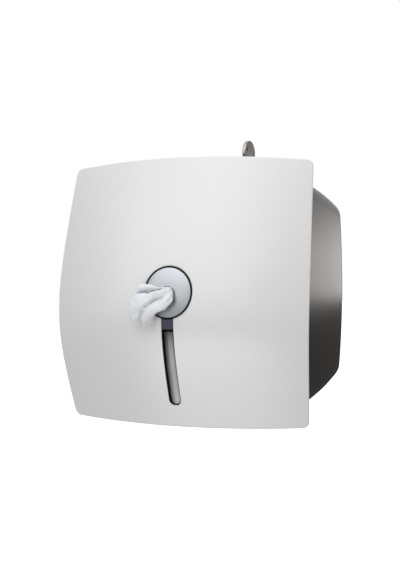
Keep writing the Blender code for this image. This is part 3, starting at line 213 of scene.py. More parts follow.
def makeShellSheen(s):
    finish = Finish("shellSheen", {"Metallic": s["metallic"]})
    where = finish.coordinates()
    flakes = finish.cells(where, s["flakeScale"], "Color")
    sparkle = finish.node("ShaderNodeSeparateColor", None, {"Color": flakes})
    cloud = finish.noise(where, s["cloudScale"], 3.0)
    rim = finish.ranged(finish.axis(where, "Y"), s["rimStart"], s["rimEnd"])      # painted shadow that darkens the shell's rear rim where it meets the wall plate
    body = finish.mixed(sparkle * s["flakeShare"] + cloud * s["cloudShare"], s["base"], s["flake"])
    finish.feed("Base Color", finish.mixed(rim, body, s["rimShadowTone"]))
    finish.roughen(s, cloud=cloud, flake=sparkle, rim=rim)
    finish.relief(finish.noise(where, s["waveScale"], 1.0), s["wave"])
    return finish.material


# plain mouldings with a fine spark-eroded grain, and plated steel with drawn lines
mouldingFinish = {
    "metallic": 0.0, "stretch": (1.0, 1.0, 1.0), "skin": (900.0, 2.0, 0.6), "skinSpread": 0.06,
    "cloud": (22.0, 3.0, 0.5), "cloudRange": (0.25, 0.75), "cloudSpread": 0.08, "grain": 0.00006,
}
platedFinish = {
    "metallic": 1.0, "stretch": (1.0, 1.0, 0.12), "skin": (1900.0, 3.0, 0.7), "skinSpread": 0.06,
    "cloud": (160.0, 3.0, 0.6), "cloudRange": (0.3, 0.7), "cloudSpread": 0.12, "grain": 0.000004,
}


def makeSkin(name, kind, base, shade, roughness, specular=0.5, **changes):
    s = dict(kind, roughness=roughness, **changes)
    finish = Finish(name, {"Metallic": s["metallic"], "Specular IOR Level": specular})
    skin = finish.noise(finish.coordinates(scale=s["stretch"]), *s["skin"])
    cloud = finish.noise(finish.coordinates(), *s["cloud"])
    finish.feed("Base Color", finish.mixed(finish.ranged(cloud, *s["cloudRange"]), base, shade))
    finish.roughen(s, cloud=cloud, skin=skin)
    finish.relief(skin, s["grain"])
    return finish.material


# nozzle disc: satin silver, turned in very fine rings
nozzleFrame = {"place": (0.0, -0.244172, 0.0), "tilt": 6.0}
discFinish = {
    "base": tint(0.53, 0.552, 0.575), "shade": tint(0.505, 0.525, 0.545), "roughness": 0.35,
    "ringScale": 5200.0, "ring": 0.0000035, "ringShare": 0.5, "ringSpread": 0.06,
    "cloudScale": 60.0, "cloudShare": 0.3, "cloudSpread": 0.05,
}


def makeDiscSilver(s):
    finish = Finish("discSilver", {"Metallic": 1.0})
    where = finish.coordinates(nozzleFrame["place"], (radians(90 + nozzleFrame["tilt"]), 0, 0))
    flat = finish.node("ShaderNodeVectorMath", {"operation": "MULTIPLY"}, {0: where, 1: (1, 1, 0)})
    reach = finish.node("ShaderNodeVectorMath", {"operation": "LENGTH"}, {0: flat}, out="Value")
    values = {"W": reach, "Scale": s["ringScale"], "Detail": 2.0}
    rings = finish.node("ShaderNodeTexNoise", {"noise_dimensions": "1D"}, values)
    cloud = finish.noise(where, s["cloudScale"])
    pattern = rings * s["ringShare"] + cloud * s["cloudShare"]
    finish.feed("Base Color", finish.mixed(pattern, s["base"], s["shade"]))
    finish.roughen(s, ring=rings, cloud=cloud)
    finish.relief(rings, s["ring"])
    return finish.material


# window: a glossy pane with painted shade that lightens downwards and away from its dark left side
windowFinish = {
    "smoke": tint(0.030, 0.029, 0.024), "clear": tint(0.60, 0.60, 0.645), "metallic": 0.15, "index": 1.55,
    "roughness": 0.2, "top": -0.041, "bottom": -0.124, "fadePower": 0.6, "leftEdge": -0.0072,
    "rightEdge": 0.0028, "leftShare": 0.12, "cloudScale": 80.0, "cloudShare": 0.05, "cloudSpread": 0.04,
    "waveScale": 45.0, "wave": 0.00006,
}


def makeWindowPane(s):
    finish = Finish("windowPane", {"Metallic": s["metallic"], "IOR": s["index"]})
    where = finish.coordinates()
    cloud = finish.noise(where, s["cloudScale"])
    # painted shade: the pane is darker at the top and along its left side
    down = finish.ranged(finish.axis(where, "Z"), s["top"], s["bottom"], smooth=False) ** s["fadePower"]
    across = finish.ranged(finish.axis(where, "X"), s["leftEdge"], s["rightEdge"], s["leftShare"])
    fade = down * across + s["cloudShare"] * (cloud - 0.5)
    finish.feed("Base Color", finish.mixed(fade.highest(0.0), s["smoke"], s["clear"]))
    finish.roughen(s, cloud=cloud)
    finish.relief(finish.noise(where, s["waveScale"], 1.0), s["wave"])
    return finish.material


# tissue: soft fibres, with the small dimples of embossed wiping paper
tissueFinish = {
    "base": tint(0.83, 0.85, 0.875), "shade": tint(0.795, 0.815, 0.845), "creaseShadeTone": tint(0.53, 0.555, 0.59),
    "creaseShadeShare": 0.9, "roughness": 0.95, "sheen": 0.3, "specular": 0.2, "fibreScale": 1600.0, "fibre": 0.00008,
    "fibreShare": 0.5, "cloudScale": 140.0, "cloudShare": 0.35, "dimpleScale": 520.0, "dimple": 0.00012,
    "dimpleStrength": 0.6, "thinLow": -0.0415, "thinHigh": -0.0260, "thinAlpha": 0.06, "thinMiddle": -0.026,
    "thinSlope": 0.25, "thinRagged": 0.004,
}


def makeTissue(name, s, hanging=False):
    finish = Finish(name, {"Roughness": s["roughness"], "Specular IOR Level": s["specular"],
                           "Sheen Weight": s["sheen"], "Sheen Roughness": 0.5})
    where = finish.coordinates()
    fibres = finish.noise(where, s["fibreScale"], 3.0, 0.7)
    cloud = finish.noise(where, s["cloudScale"], 3.0)
    dimples = finish.cells(where, s["dimpleScale"], "Distance")
    paper = finish.mixed(fibres * s["fibreShare"] + cloud * s["cloudShare"], s["base"], s["shade"])
    if hanging:      # painted shade in its folds, and one thin layer at its lower edge
        fold = finish.node("ShaderNodeAttribute", {"attribute_name": "fold"}, out="Fac")
        paper = finish.mixed(finish.ranged(fold, 0.5, 1.0, 0.0, s["creaseShadeShare"]), paper, s["creaseShadeTone"])
        away = (finish.axis(where, "X") - s["thinMiddle"]).absolute()
        level = finish.axis(where, "Z") - s["thinSlope"] * away + s["thinRagged"] * (cloud - 0.5)
        finish.feed("Alpha", finish.ranged(level, s["thinLow"], s["thinHigh"], s["thinAlpha"]))
    finish.feed("Base Color", paper)
    finish.relief(dimples, s["dimple"], s["dimpleStrength"])
    finish.relief(fibres, s["fibre"])
    return finish.material


finishes = (
    makePanelGloss(panelFinish),
    makeShellSheen(shellFinish),
    makeSkin("plateMoulding", mouldingFinish, tint(0.085, 0.083, 0.082), tint(0.07, 0.069, 0.068), 0.48),
    makeSkin("blackGloss", mouldingFinish, tint(0.004, 0.004, 0.005), tint(0.007, 0.007, 0.008), 0.3,
             specular=0.16, grain=0.00001),
    makeSkin("greyMoulding", mouldingFinish, tint(0.31, 0.31, 0.32), tint(0.28, 0.28, 0.29), 0.5),
    makeSkin("slateSatin", mouldingFinish, tint(0.062, 0.066, 0.087), tint(0.056, 0.059, 0.079), 0.29,
             grain=0.00003),
    makeSkin("zincSteel", platedFinish, tint(0.60, 0.60, 0.585), tint(0.50, 0.50, 0.485), 0.34),
    makeSkin("keyNickel", platedFinish, tint(0.40, 0.365, 0.35), tint(0.34, 0.31, 0.298), 0.24),
    makeSkin("lockChrome", platedFinish, tint(0.78, 0.78, 0.78), tint(0.72, 0.72, 0.72), 0.12),
    makeDiscSilver(discFinish),
    makeWindowPane(windowFinish),
    makeTissue("tissuePaper", tissueFinish, hanging=True),
    makeTissue("rollPaper", tissueFinish),
)
materials = {material.name: material for material in finishes}
print("finishes made")


# mesh helpers
def firstRing(bm, places):
    ring = bmesh.ops.create_circle(bm, segments=len(places), radius=1)["verts"]
    for vert, place in zip(ring, places):
        vert.co = place
    return ring


def ringEdges(bm, ring):
    return [bm.edges.get((first, second)) for first, second in zip(ring, ring[1:] + ring[:1])]


def growRing(bm, ring, places):      # extrudes a closed ring of verts to new places and keeps their order
    made = bmesh.ops.extrude_edge_only(bm, edges=ringEdges(bm, ring))["geom"]
    fresh = {thing for thing in made if isinstance(thing, bmesh.types.BMVert)}
    grown = []
    for vert, place in zip(ring, places):
        twin = next(edge.other_vert(vert) for edge in vert.link_edges if edge.other_vert(vert) in fresh)
        twin.co = place
        grown.append(twin)
    return grown


def loftedRings(rings, closed=False, capped=False):
    bm = bmesh.new()
    start = firstRing(bm, rings[0])
    end = start
    for places in rings[1:]:
        end = growRing(bm, end, places)
    if closed:
        bmesh.ops.bridge_loops(bm, edges=ringEdges(bm, start) + ringEdges(bm, end))
    if capped:
        bmesh.ops.contextual_create(bm, geom=start)
        bmesh.ops.contextual_create(bm, geom=end)
    bmesh.ops.recalc_face_normals(bm, faces=bm.faces)
    return bm


def turnedRound(profile, steps, matrix, closed=False):      # spins (radius, height) points round local Z
    bm = bmesh.new()
    verts = [bm.verts.new((reach, 0, height)) for reach, height in profile]
    pairs = list(zip(verts, verts[1:])) + ([(verts[-1], verts[0])] if closed else [])
    edges = [bm.edges.new(pair) for pair in pairs]
    bmesh.ops.spin(
        bm, geom=verts + edges, cent=(0, 0, 0), axis=(0, 0, 1), dvec=(0, 0, 0), angle=2 * pi, steps=steps,
        use_merge=True, use_duplicate=False)
    bmesh.ops.remove_doubles(bm, verts=bm.verts, dist=0.000005)
    bmesh.ops.recalc_face_normals(bm, faces=bm.faces)
    bmesh.ops.transform(bm, matrix=matrix, verts=bm.verts)
    return bm


def rod(radius, start, end, steps, matrix):      # a plain cylinder along local Z
    return turnedRound([(0, start), (radius, start), (radius, end), (0, end)], steps, matrix)


def evenly(start, end, steps):      # values from start to end, with both of them
    return [start + (end - start) * step / steps for step in range(steps + 1)]


def quarterRound(steps):      # how far inward and back a rounded edge is at each step, for a radius of 1
    return [(1 - cos(angle), 1 - sin(angle)) for angle in evenly(0, pi / 2, steps)[1:]]


def block(low, high):
    bm = bmesh.new()
    bmesh.ops.create_cube(bm, size=1)
    bmesh.ops.scale(bm, vec=[b - a for a, b in zip(low, high)], verts=bm.verts)
    bmesh.ops.translate(bm, vec=[(a + b) / 2 for a, b in zip(low, high)], verts=bm.verts)
    return bm


def roundedEdges(bm, width, chosen, segments=4):
    edges = [edge for edge in bm.edges if chosen(edge)]
    bmesh.ops.bevel(
        bm, geom=edges, offset=width, offset_type="OFFSET", segments=segments, profile=0.5, affect="EDGES",
        clamp_overlap=True, material=-1)
    return bm


def pressed(points, start, end, matrix):      # a flat outline in local XY, extruded along local Z
    bm = bmesh.new()
    face = bm.faces.new([bm.verts.new((x, y, start)) for x, y in points])
    grown = bmesh.ops.extrude_face_region(bm, geom=[face])["geom"]
    moved = [thing for thing in grown if isinstance(thing, bmesh.types.BMVert)]
    bmesh.ops.translate(bm, verts=moved, vec=(0, 0, end - start))
    bmesh.ops.transform(bm, matrix=matrix, verts=bm.verts)
    bmesh.ops.recalc_face_normals(bm, faces=bm.faces)
    return bm


def together(*shapes):
    joined = bmesh.new()
    for shape in shapes:
        mesh = bpy.data.meshes.new("shape")
        shape.to_mesh(mesh)
        shape.free()
        joined.from_mesh(mesh)
        bpy.data.meshes.remove(mesh)
    return joined


def newObject(name, bm):
    mesh = bpy.data.meshes.new(name)
    bm.to_mesh(mesh)
    bm.free()
    thing = bpy.data.objects.new(name, mesh)
    bpy.context.scene.collection.objects.link(thing)
    return thing


def combined(thing, operation, shape):      # adds or cuts a shape, and leaves a plain mesh
    helper = newObject("helper", shape)
    modifier = thing.modifiers.new("combine", "BOOLEAN")
    modifier.operation, modifier.solver, modifier.object = operation, "EXACT", helper
    graph = bpy.context.evaluated_depsgraph_get()
    mesh, old = bpy.data.meshes.new_from_object(thing.evaluated_get(graph)), thing.data
    thing.modifiers.clear()
    thing.data = mesh
    bpy.data.meshes.remove(old)
    bpy.data.meshes.remove(helper.data)      # takes the helper with it


def dressed(thing, finish, body, nodes, angle=35):
    thing.data.materials.clear()
    thing.data.materials.append(materials[finish])
    thing.data.shade_smooth()
    thing.data.set_sharp_from_angle(angle=radians(angle))
    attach(thing, body)
    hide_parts(*nodes)


# the front panel's dome, in the frame's own numbers
dome = {
    "nose": -0.245983, "halfWidth": 0.1543, "halfHeight": 0.150, "cornerRadius": 0.0075, "sideSag": 0.0253,
    "foldHeight": -0.028, "foldBlunt": 0.061, "topSlope": 0.296, "bottomSlope": 0.391,
    "widest": -0.017, "barrelBlunt": 0.080, "topBarrel": 0.0685, "bottomBarrel": 0.118,
    "topCrown": 0.007, "bottomCrown": 0.004, "wall": 0.003,
}


def domeSlope(z):
    return dome["topSlope"] if z > dome["foldHeight"] else dome["bottomSlope"]


def domeY(x, z, behind=0.0):
    d = dome
    fold = domeSlope(z) * (hypot(d["foldBlunt"], z - d["foldHeight"]) - d["foldBlunt"])
    return d["nose"] + d["sideSag"] * (x / d["halfWidth"]) ** 2 + fold + behind


def domeNormal(x, z):
    d = dome
    rise = domeSlope(z) * (z - d["foldHeight"]) / hypot(d["foldBlunt"], z - d["foldHeight"])
    return Vector((2 * d["sideSag"] * x / d["halfWidth"] ** 2, -1, rise)).normalized()


def onDome(points, behind):      # lays a flat outline on the dome, or a little behind it
    return [(x, domeY(x, z, behind), z) for x, z in points]


def behindDome(x, z):      # a seat on the panel's inner face, whose local Z points to the rear
    return Matrix.Translation((x, domeY(x, z, dome["wall"]), z)) @ Matrix.Rotation(-pi / 2, 4, "X")


def roundedRectangle(halfWidth, halfHeight, radius, sideSteps, cornerSteps):
    arcs = []
    for quarter, (sx, sz) in enumerate(((1, 1), (-1, 1), (-1, -1), (1, -1))):
        angles = evenly(quarter * pi / 2, (quarter + 1) * pi / 2, cornerSteps)
        cx, cz = sx * (halfWidth - radius), sz * (halfHeight - radius)
        arcs.append([Vector((cx + radius * cos(a), cz + radius * sin(a))) for a in angles])
    points = []
    for index, arc in enumerate(arcs):
        points += arc
        nextStart = arcs[(index + 1) % 4][0]
        points += [arc[-1].lerp(nextStart, step / sideSteps) for step in range(1, sideSteps)]
    return points


panelSettings = {
    "holeRadius": 0.02914, "holeRound": 0.0002, "edgeRound": 0.001, "edgeDepth": 0.0012, "edgeSteps": 4,
    "lipDepth": 0.006,
    "lipInset": 0.003, "lipWall": 0.0025, "lipRound": 0.0004, "sideSteps": 36, "cornerSteps": 10,
    "frontRings": 34, "ringCrowd": 1.15, "backRings": 10, "slotHalf": 0.0074, "slotBottom": -0.1252,
    "slotRadius": 0.0062, "slotTop": -0.0278, "slotOver": 0.004, "slotRear": -0.2, "slotSideSteps": 26,
    "slotArcSteps": 10, "windowScrews": ((-0.015, -0.085), (0.015, -0.085)), "bossRadius": 0.004,
    "bossRoot": -0.0015, "bossEnd": 0.0092, "windowBossEnd": 0.0052, "screwHole": 0.0019, "screwDepth": 0.012,
    "facing": 0.995, "nearFace": 0.0002, "onFace": 0.00005,
}


def panelOutline(inset):
    s, d = panelSettings, dome
    points = roundedRectangle(
        d["halfWidth"] - inset, d["halfHeight"] - inset, d["cornerRadius"] - inset, s["sideSteps"],
        s["cornerSteps"])
    bent = []
    for x, z in points:
        barrel = d["topBarrel"] if z > d["widest"] else d["bottomBarrel"]
        narrow = barrel * (hypot(d["barrelBlunt"], z - d["widest"]) - d["barrelBlunt"])
        crown = d["topCrown"] if z > 0 else d["bottomCrown"]
        wide = 1 - narrow / d["halfWidth"]
        high = 1 - crown / d["halfHeight"] * (x / d["halfWidth"]) ** 2
        bent.append((x * wide, z * high))
    return bent


def slotOutline(grow, top):
    s = panelSettings
    half, radius, low = s["slotHalf"] + grow, s["slotRadius"] + grow, s["slotBottom"] - grow
    left = [(-half, z) for z in evenly(top, low + radius, s["slotSideSteps"])]
    for inward, back in quarterRound(s["slotArcSteps"]):
        left.append((-half + radius * inward, low + radius * back))
    return left + [(-x, z) for x, z in reversed(left)]


xzToWorld = Matrix(((1, 0, 0, 0), (0, 0, 1, 0), (0, 1, 0, 0), (0, 0, 0, 1)))
yzToWorld = Matrix(((0, 0, 1, 0), (1, 0, 0, 0), (0, 1, 0, 0), (0, 0, 0, 1)))


def makePanel(s):
    tilt = tan(radians(nozzleFrame["tilt"]))
    spread = [share ** s["ringCrowd"] for share in evenly(0, 1, s["frontRings"])]

    def ring(inset, share, behind, hole):      # from the nozzle's hole out to the panel's outline
        places = []
        for x, z in panelOutline(inset):
            far = hypot(x, z)
            start = Vector((x / far * hole, z / far * hole - behind * tilt))
            px, pz = start.lerp(Vector((x, z)), share)
            places.append((px, domeY(px, pz, behind), pz))
        return places

    rings = [ring(s["edgeRound"], 0, s["holeRound"], s["holeRadius"])]
    rings += [ring(s["edgeRound"], share, 0, s["holeRadius"] + s["holeRound"]) for share in spread]
    for back, inward in quarterRound(s["edgeSteps"]):      # the outer edge is rounded
        rings.append(onDome(panelOutline(s["edgeRound"] * inward), s["edgeRound"] * back))
    deep, start, inner, soft = s["lipDepth"], s["lipInset"], s["lipInset"] + s["lipWall"], s["lipRound"]
    lip = ((0, s["edgeDepth"]), (start, deep - soft), (start + soft, deep))
    lip += ((inner - soft, deep), (inner, deep - soft))
    rings += [onDome(panelOutline(inset), behind) for inset, behind in lip]
    rings += [ring(inner, share, dome["wall"], s["holeRadius"]) for share in evenly(1, 0, s["backRings"])]
    panel = newObject("panelMoulding", loftedRings(rings, closed=True))

    slot = pressed(slotOutline(0, s["slotTop"]), dome["nose"] - s["slotOver"], s["slotRear"], xzToWorld)
    combined(panel, "DIFFERENCE", slot)
    wide, root = s["bossRadius"], s["bossRoot"]
    bosses = [rod(wide, root, s["windowBossEnd"], 24, behindDome(x, z)) for x, z in s["windowScrews"]]
    bosses += [rod(wide, root, s["bossEnd"], 24, behindDome(x, z)) for x, z in cornerScrews]
    combined(panel, "UNION", together(*bosses))
    holes = [rod(s["screwHole"], 0, s["screwDepth"], 20, behindDome(x, z)) for x, z in cornerScrews]
    combined(panel, "DIFFERENCE", together(*holes))
    dressed(panel, "panelGloss", "cover", ["front_panel"], 30)

    mesh = panel.data      # the dome's own normals, so that the cut slot leaves no marks in its gloss
    normals = []
    for face in mesh.polygons:
        x, y, z = face.center
        front = face.normal.dot(domeNormal(x, z)) > s["facing"] and abs(y - domeY(x, z)) < s["nearFace"]
        for index in face.vertices:
            x, y, z = mesh.vertices[index].co
            onFront = front and abs(y - domeY(x, z)) < s["onFace"]
            normals.append(domeNormal(x, z) if onFront else Vector((0, 0, 0)))
    mesh.normals_split_custom_set(normals)


cornerScrews = []
for corner in ("bottom_left", "top_left", "bottom_right", "top_right"):
    low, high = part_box("panel_screw_" + corner)
    cornerScrews.append(((low.x + high.x) / 2, (low.z + high.z) / 2))
makePanel(panelSettings)
print("panel made")


# shell behind the panel: a flared tray with a raised lock housing and four hinge knuckles
shellSettings = {
    "rearHalfWidth": 0.114, "rearHalfHeight": 0.1085, "wall": 0.0025, "bulge": 0.0038, "flare": 0.022,
    "flareLength": 0.246, "flarePower": 1.7, "cornerRadius": 0.018, "drop": 0.0015, "rearGap": 0.004,
    "frontGap": 0.0009, "sideSteps": 30, "cornerSteps": 10, "depthSteps": 26, "rim": 0.0006,
    "lowTaper": 0.0014, "earStart": 0.0095, "earEnd": 0.0125, "screwHole": 0.0019, "holeStart": 0.0075,
    "holeEnd": 0.0145, "depthPasses": 4,
}
housing = {
    "low": (-0.015, -0.034, 0.1085), "high": (0.015, -0.004, 0.14), "round": 0.003, "topRound": 0.0008,
    "bore": 0.0093, "boreY": -0.018, "boreStart": 0.100, "boreEnd": 0.143,
}
knuckles = {
    "middles": (-0.066, 0.066), "starts": (-0.0136, 0.0046), "width": 0.009, "radius": 0.005, "root": -0.1105,
    "pinY": -0.016, "pinZ": -0.104803, "pinRadius": 0.0023, "pinReach": 0.016,
    "gapHalf": 0.0046, "gapLow": (-0.0213, -0.1208), "gapHigh": (0.002, -0.1048), "arcSteps": 16,
}
shellOutlines = {}      # the outlines worked out so far


def shellPoint(depth, inset, index):
    s = shellSettings
    grown = s["flare"] * (1 - max(1 - depth / s["flareLength"], 0) ** s["flarePower"]) - inset
    halfWidth, halfHeight = s["rearHalfWidth"] + grown, s["rearHalfHeight"] + grown
    key = (round(halfWidth, 7), round(halfHeight, 7), inset)
    if key not in shellOutlines:
        shellOutlines[key] = roundedRectangle(
            halfWidth, halfHeight, s["cornerRadius"] - inset, s["sideSteps"], s["cornerSteps"])
    x, z = shellOutlines[key][index]
    wide = 1 + s["bulge"] / halfWidth * (1 - (z / halfHeight) ** 2)
    if z < 0:      # a little narrower low down at the rear
        wide -= s["lowTaper"] / halfWidth * max(1 - depth / s["flareLength"], 0) * (z / halfHeight) ** 2
    high = 1 + s["bulge"] / halfHeight * (1 - (x / halfWidth) ** 2)
    return x * wide, z * high - s["drop"]


def shellDepth(inset, index):      # how deep the shell is at this place, up to the panel's back
    full = -dome["nose"]
    for _ in range(shellSettings["depthPasses"]):
        x, z = shellPoint(full, inset, index)
        full = -shellSettings["rearGap"] - domeY(x, z, dome["wall"]) - shellSettings["frontGap"]
    return full


def makeShell(s):
    count = 4 * (s["sideSteps"] + s["cornerSteps"])
    depths = {inset: [shellDepth(inset, index) for index in range(count)] for inset in (0, s["wall"])}

    def ring(share, inset, nudge=0.0):
        places = []
        for index in range(count):
            full = depths[0 if inset < s["wall"] / 2 else s["wall"]][index]
            x, z = shellPoint(full * share + nudge, inset, index)
            places.append((x, -s["rearGap"] - full * share - nudge, z))
        return places

    shares = evenly(0, 1, s["depthSteps"])
    rings = [ring(0, s["rim"] / 2), ring(0, 0, s["rim"] / 2)] + [ring(share, 0) for share in shares[1:]]
    rings += [ring(share, s["wall"]) for share in reversed(shares[1:])]
    rings += [ring(0, s["wall"], s["rim"] / 2), ring(0, s["wall"] - s["rim"] / 2)]
    shell = newObject("shellTray", loftedRings(rings, closed=True))

    bores = []
    ears = []
    for x, z in cornerScrews:
        seat = behindDome(x, z)
        ears.append(rod(s["cornerRadius"] - s["wall"] / 2, s["earStart"], s["earEnd"], 48, seat))
        bores.append(rod(s["screwHole"], s["holeStart"], s["holeEnd"], 20, seat))
    combined(shell, "UNION", together(makeHousing(housing), *makeKnuckles(knuckles), *ears))
    k = knuckles
    gaps = []
    for middle in k["middles"]:
        gaps.append(block((middle - k["gapHalf"], *k["gapLow"]), (middle + k["gapHalf"], *k["gapHigh"])))
    combined(shell, "DIFFERENCE", together(*gaps))
    along = Matrix.Translation((0, k["pinY"], k["pinZ"])) @ Matrix.Rotation(pi / 2, 4, "Y")
    for middle in k["middles"]:
        bores.append(rod(k["pinRadius"], middle - k["pinReach"], middle + k["pinReach"], 24, along))
    barrel = Matrix.Translation((0, housing["boreY"], 0))
    bores.append(rod(housing["bore"], housing["boreStart"], housing["boreEnd"], 48, barrel))
    combined(shell, "DIFFERENCE", together(*bores))
    dressed(shell, "shellSheen", "cover", ["cover_shell"], 28)


def makeHousing(s):
    tower = block(s["low"], s["high"])
    roundedEdges(tower, s["round"], lambda edge: abs(edge.verts[0].co.z - edge.verts[1].co.z) > s["round"], 6)
    nearTop = s["high"][2] - s["topRound"] / 2
    return roundedEdges(tower, s["topRound"], lambda edge: min(v.co.z for v in edge.verts) > nearTop, 3)


def makeKnuckles(s):      # round-ended lumps for the hinge pins, two at each side
    y, z, radius = s["pinY"], s["pinZ"], s["radius"]
    points = [(y - radius, s["root"]), (y + radius, s["root"])]
    for angle in evenly(0, pi, s["arcSteps"]):
        points.append((y + radius * cos(angle), z + radius * sin(angle)))
    starts = [middle + near for middle in s["middles"] for near in s["starts"]]
    return [pressed(points, start, start + s["width"], yzToWorld) for start in starts]


makeShell(shellSettings)
print("shell made")


# nozzle: black ring and silver disc, with a soft lip round the hole
nozzleMatrix = Matrix.Translation(nozzleFrame["place"]) @ Matrix.Rotation(
    -pi / 2 - radians(nozzleFrame["tilt"]), 4, "X")
ringSettings = {
    "radius": 0.02908, "wall": 0.0012, "depth": 0.012, "proud": 0.0006, "blunt": 0.7, "seatDepth": 0.0034,
    "seatWall": 0.002, "seatWidth": 0.0038, "steps": 144, "frontSteps": 8,
}
discSettings = {
    "crown": 0.0014, "wall": 0.002, "edge": 0.0006, "sink": 0.0002, "lip": 0.0005, "lipRise": 0.00022,
    "mouth": 0.007, "throatWall": 0.0011, "throatLength": 0.012, "gap": 0.0003, "steps": 144,
    "edgeSteps": 4, "domeSteps": 24, "lipSteps": 12,
}


def makeNozzle(r, d):
    inner = r["radius"] - r["wall"]
    seat = inner - r["seatWidth"]
    seatEnd = r["seatDepth"] + r["seatWall"]
    half = r["wall"] / 2
    profile = []
    for angle in evenly(0, pi, r["frontSteps"]):      # the ring's front is a half round
        rise = r["proud"] * sin(angle) ** r["blunt"]
        profile.append((r["radius"] - half - half * cos(angle), -rise))
    profile += [(r["radius"], r["depth"]), (inner, r["depth"]), (inner, seatEnd), (seat, seatEnd)]
    profile += [(seat, r["seatDepth"]), (inner, r["seatDepth"])]
    ring = newObject("nozzleRing", turnedRound(profile, r["steps"], nozzleMatrix, closed=True))
    dressed(ring, "blackGloss", "cover", ["nozzle_ring"])

    rim = inner - d["gap"]
    mouth = d["mouth"]
    lipOut = mouth + 2 * d["lip"]      # a slim bead stands round the mouth
    foot = r["seatDepth"] - d["gap"]
    skirt = rim - r["seatWidth"]
    throat = mouth + d["throatWall"]
    profile = [(rim, foot), (rim, d["edge"] + d["sink"])]
    for inward, back in quarterRound(d["edgeSteps"]):
        profile.append((rim - d["edge"] * inward, d["edge"] * back + d["sink"]))
    for share in evenly(1, 0, d["domeSteps"])[1:]:
        reach = lipOut + (rim - d["edge"] - lipOut) * share
        profile.append((reach, d["sink"] - (d["crown"] + d["sink"]) * (1 - share ** 2)))
    for angle in evenly(0, pi, d["lipSteps"]):      # the bead rises, rounds over and drops into the mouth
        reach = mouth + d["lip"] * (1 + cos(angle))
        profile.append((reach, -d["crown"] - d["lipRise"] * sin(angle)))
    profile += [(mouth, d["throatLength"]), (throat, d["throatLength"]), (throat, d["wall"] / 2)]
    profile += [(skirt, d["wall"]), (skirt, foot)]
    disc = newObject("nozzleDisc", turnedRound(profile, d["steps"], nozzleMatrix, closed=True))
    dressed(disc, "discSilver", "nozzle", ["nozzle_disc"])


makeNozzle(ringSettings, discSettings)
print("nozzle made")


# window strip: a black bezel round a silvered pane, with a slate cap above it
windowSettings = {
    "edge": 0.0003, "round": 0.0006, "slope": 0.0003, "depth": 0.0021, "setBack": 0.0002, "lipRound": 0.0004,
    "lipDrop": 0.0002, "top": -0.0408, "flange": 0.0035, "flangeBack": 0.0085, "flangeWall": 0.0015,
    "earX": 0.0149, "earZ": -0.085, "earHalf": 0.0045, "earStart": 0.00915, "earBehind": 0.0055,
    "paneWall": 0.0016, "paneDrop": 0.0012, "crown": 0.0012, "leastShare": 0.2,
    "stations": 60, "columns": 12, "lipSteps": 3,
}
capSettings = {
    "bottom": -0.0405, "over": 0.002, "depth": 0.0044, "proud": 0.0003, "rows": 16, "footTurn": 0.0007,
    "front": (-1, -0.985, -0.80, -0.77, -0.4, 0, 0.4, 0.77, 0.80, 0.985, 1), "back": (1, 0.5, 0, -0.5, -1),
    "stripShare": 0.79, "stripStep": 0.00035, "sideTurn": 0.0004, "ringCut": (-0.008, 0.012),
}


def makeBezel(s):
    def loop(grow, inward, behind):
        return onDome(slotOutline(grow, s["top"] - inward), behind)

    edge, soft, rear = s["edge"], s["lipRound"], s["flangeBack"] + s["flangeWall"]
    inset = s["round"] + s["slope"]
    rings = [loop(-edge, 0, s["flangeBack"]), loop(-edge, 0, s["setBack"] + soft)]
    for inward, back in quarterRound(s["lipSteps"]):
        rings.append(loop(-edge - soft * inward, soft * inward, s["setBack"] + soft * back))
    rings += [loop(-edge - s["round"], s["round"], s["setBack"] + s["lipDrop"])]
    rings += [loop(-edge - inset, inset, s["depth"]), loop(-edge - inset, inset, rear)]
    rings += [loop(s["flange"], 0, rear), loop(s["flange"], 0, s["flangeBack"])]
    bezel = newObject("windowBezel", loftedRings(rings, closed=True))
    ears = []
    for side in (-1, 1):
        x, z, half = side * s["earX"], s["earZ"], s["earHalf"]
        front = domeY(x, z, dome["wall"]) + s["earBehind"]
        start, end = sorted((side * s["earStart"], x + side * half))
        ears.append(block((start, front, z - half), (end, front + s["flangeWall"], z + half)))
    combined(bezel, "UNION", together(*ears))
    dressed(bezel, "blackGloss", "cover", ["window_bezel"], 40)


def makePane(s):
    inset = s["round"] + s["slope"]
    low = panelSettings["slotBottom"] + inset + 2 * s["edge"]
    high = s["top"] - inset - s["paneDrop"]      # a dark gap shows above the pane
    half = panelSettings["slotHalf"] - inset - 2 * s["edge"]
    radius = panelSettings["slotRadius"] - inset
    shares = evenly(-1, 1, s["columns"])
    rings = []
    for angle in evenly(0, pi / 2, s["stations"]):      # closer together towards the round lower end
        z = high + (low - high) * sin(angle)
        over = max(low + radius - z, 0)
        arc = half - radius + sqrt(max(radius ** 2 - over ** 2, 0))
        wide = max(arc, half * s["leastShare"])
        sags = [s["depth"] + s["crown"] * (share * wide / half) ** 2 for share in shares]
        rear = domeY(0, z, s["depth"] + s["crown"] + s["paneWall"])
        front = [(share * wide, domeY(0, z, sag), z) for share, sag in zip(shares, sags)]
        rings.append(front + [(share * wide, rear, z) for share in reversed(shares)])
    pane = newObject("windowPane", loftedRings(rings, capped=True))
    dressed(pane, "windowPane", "cover", ["level_window"], 40)


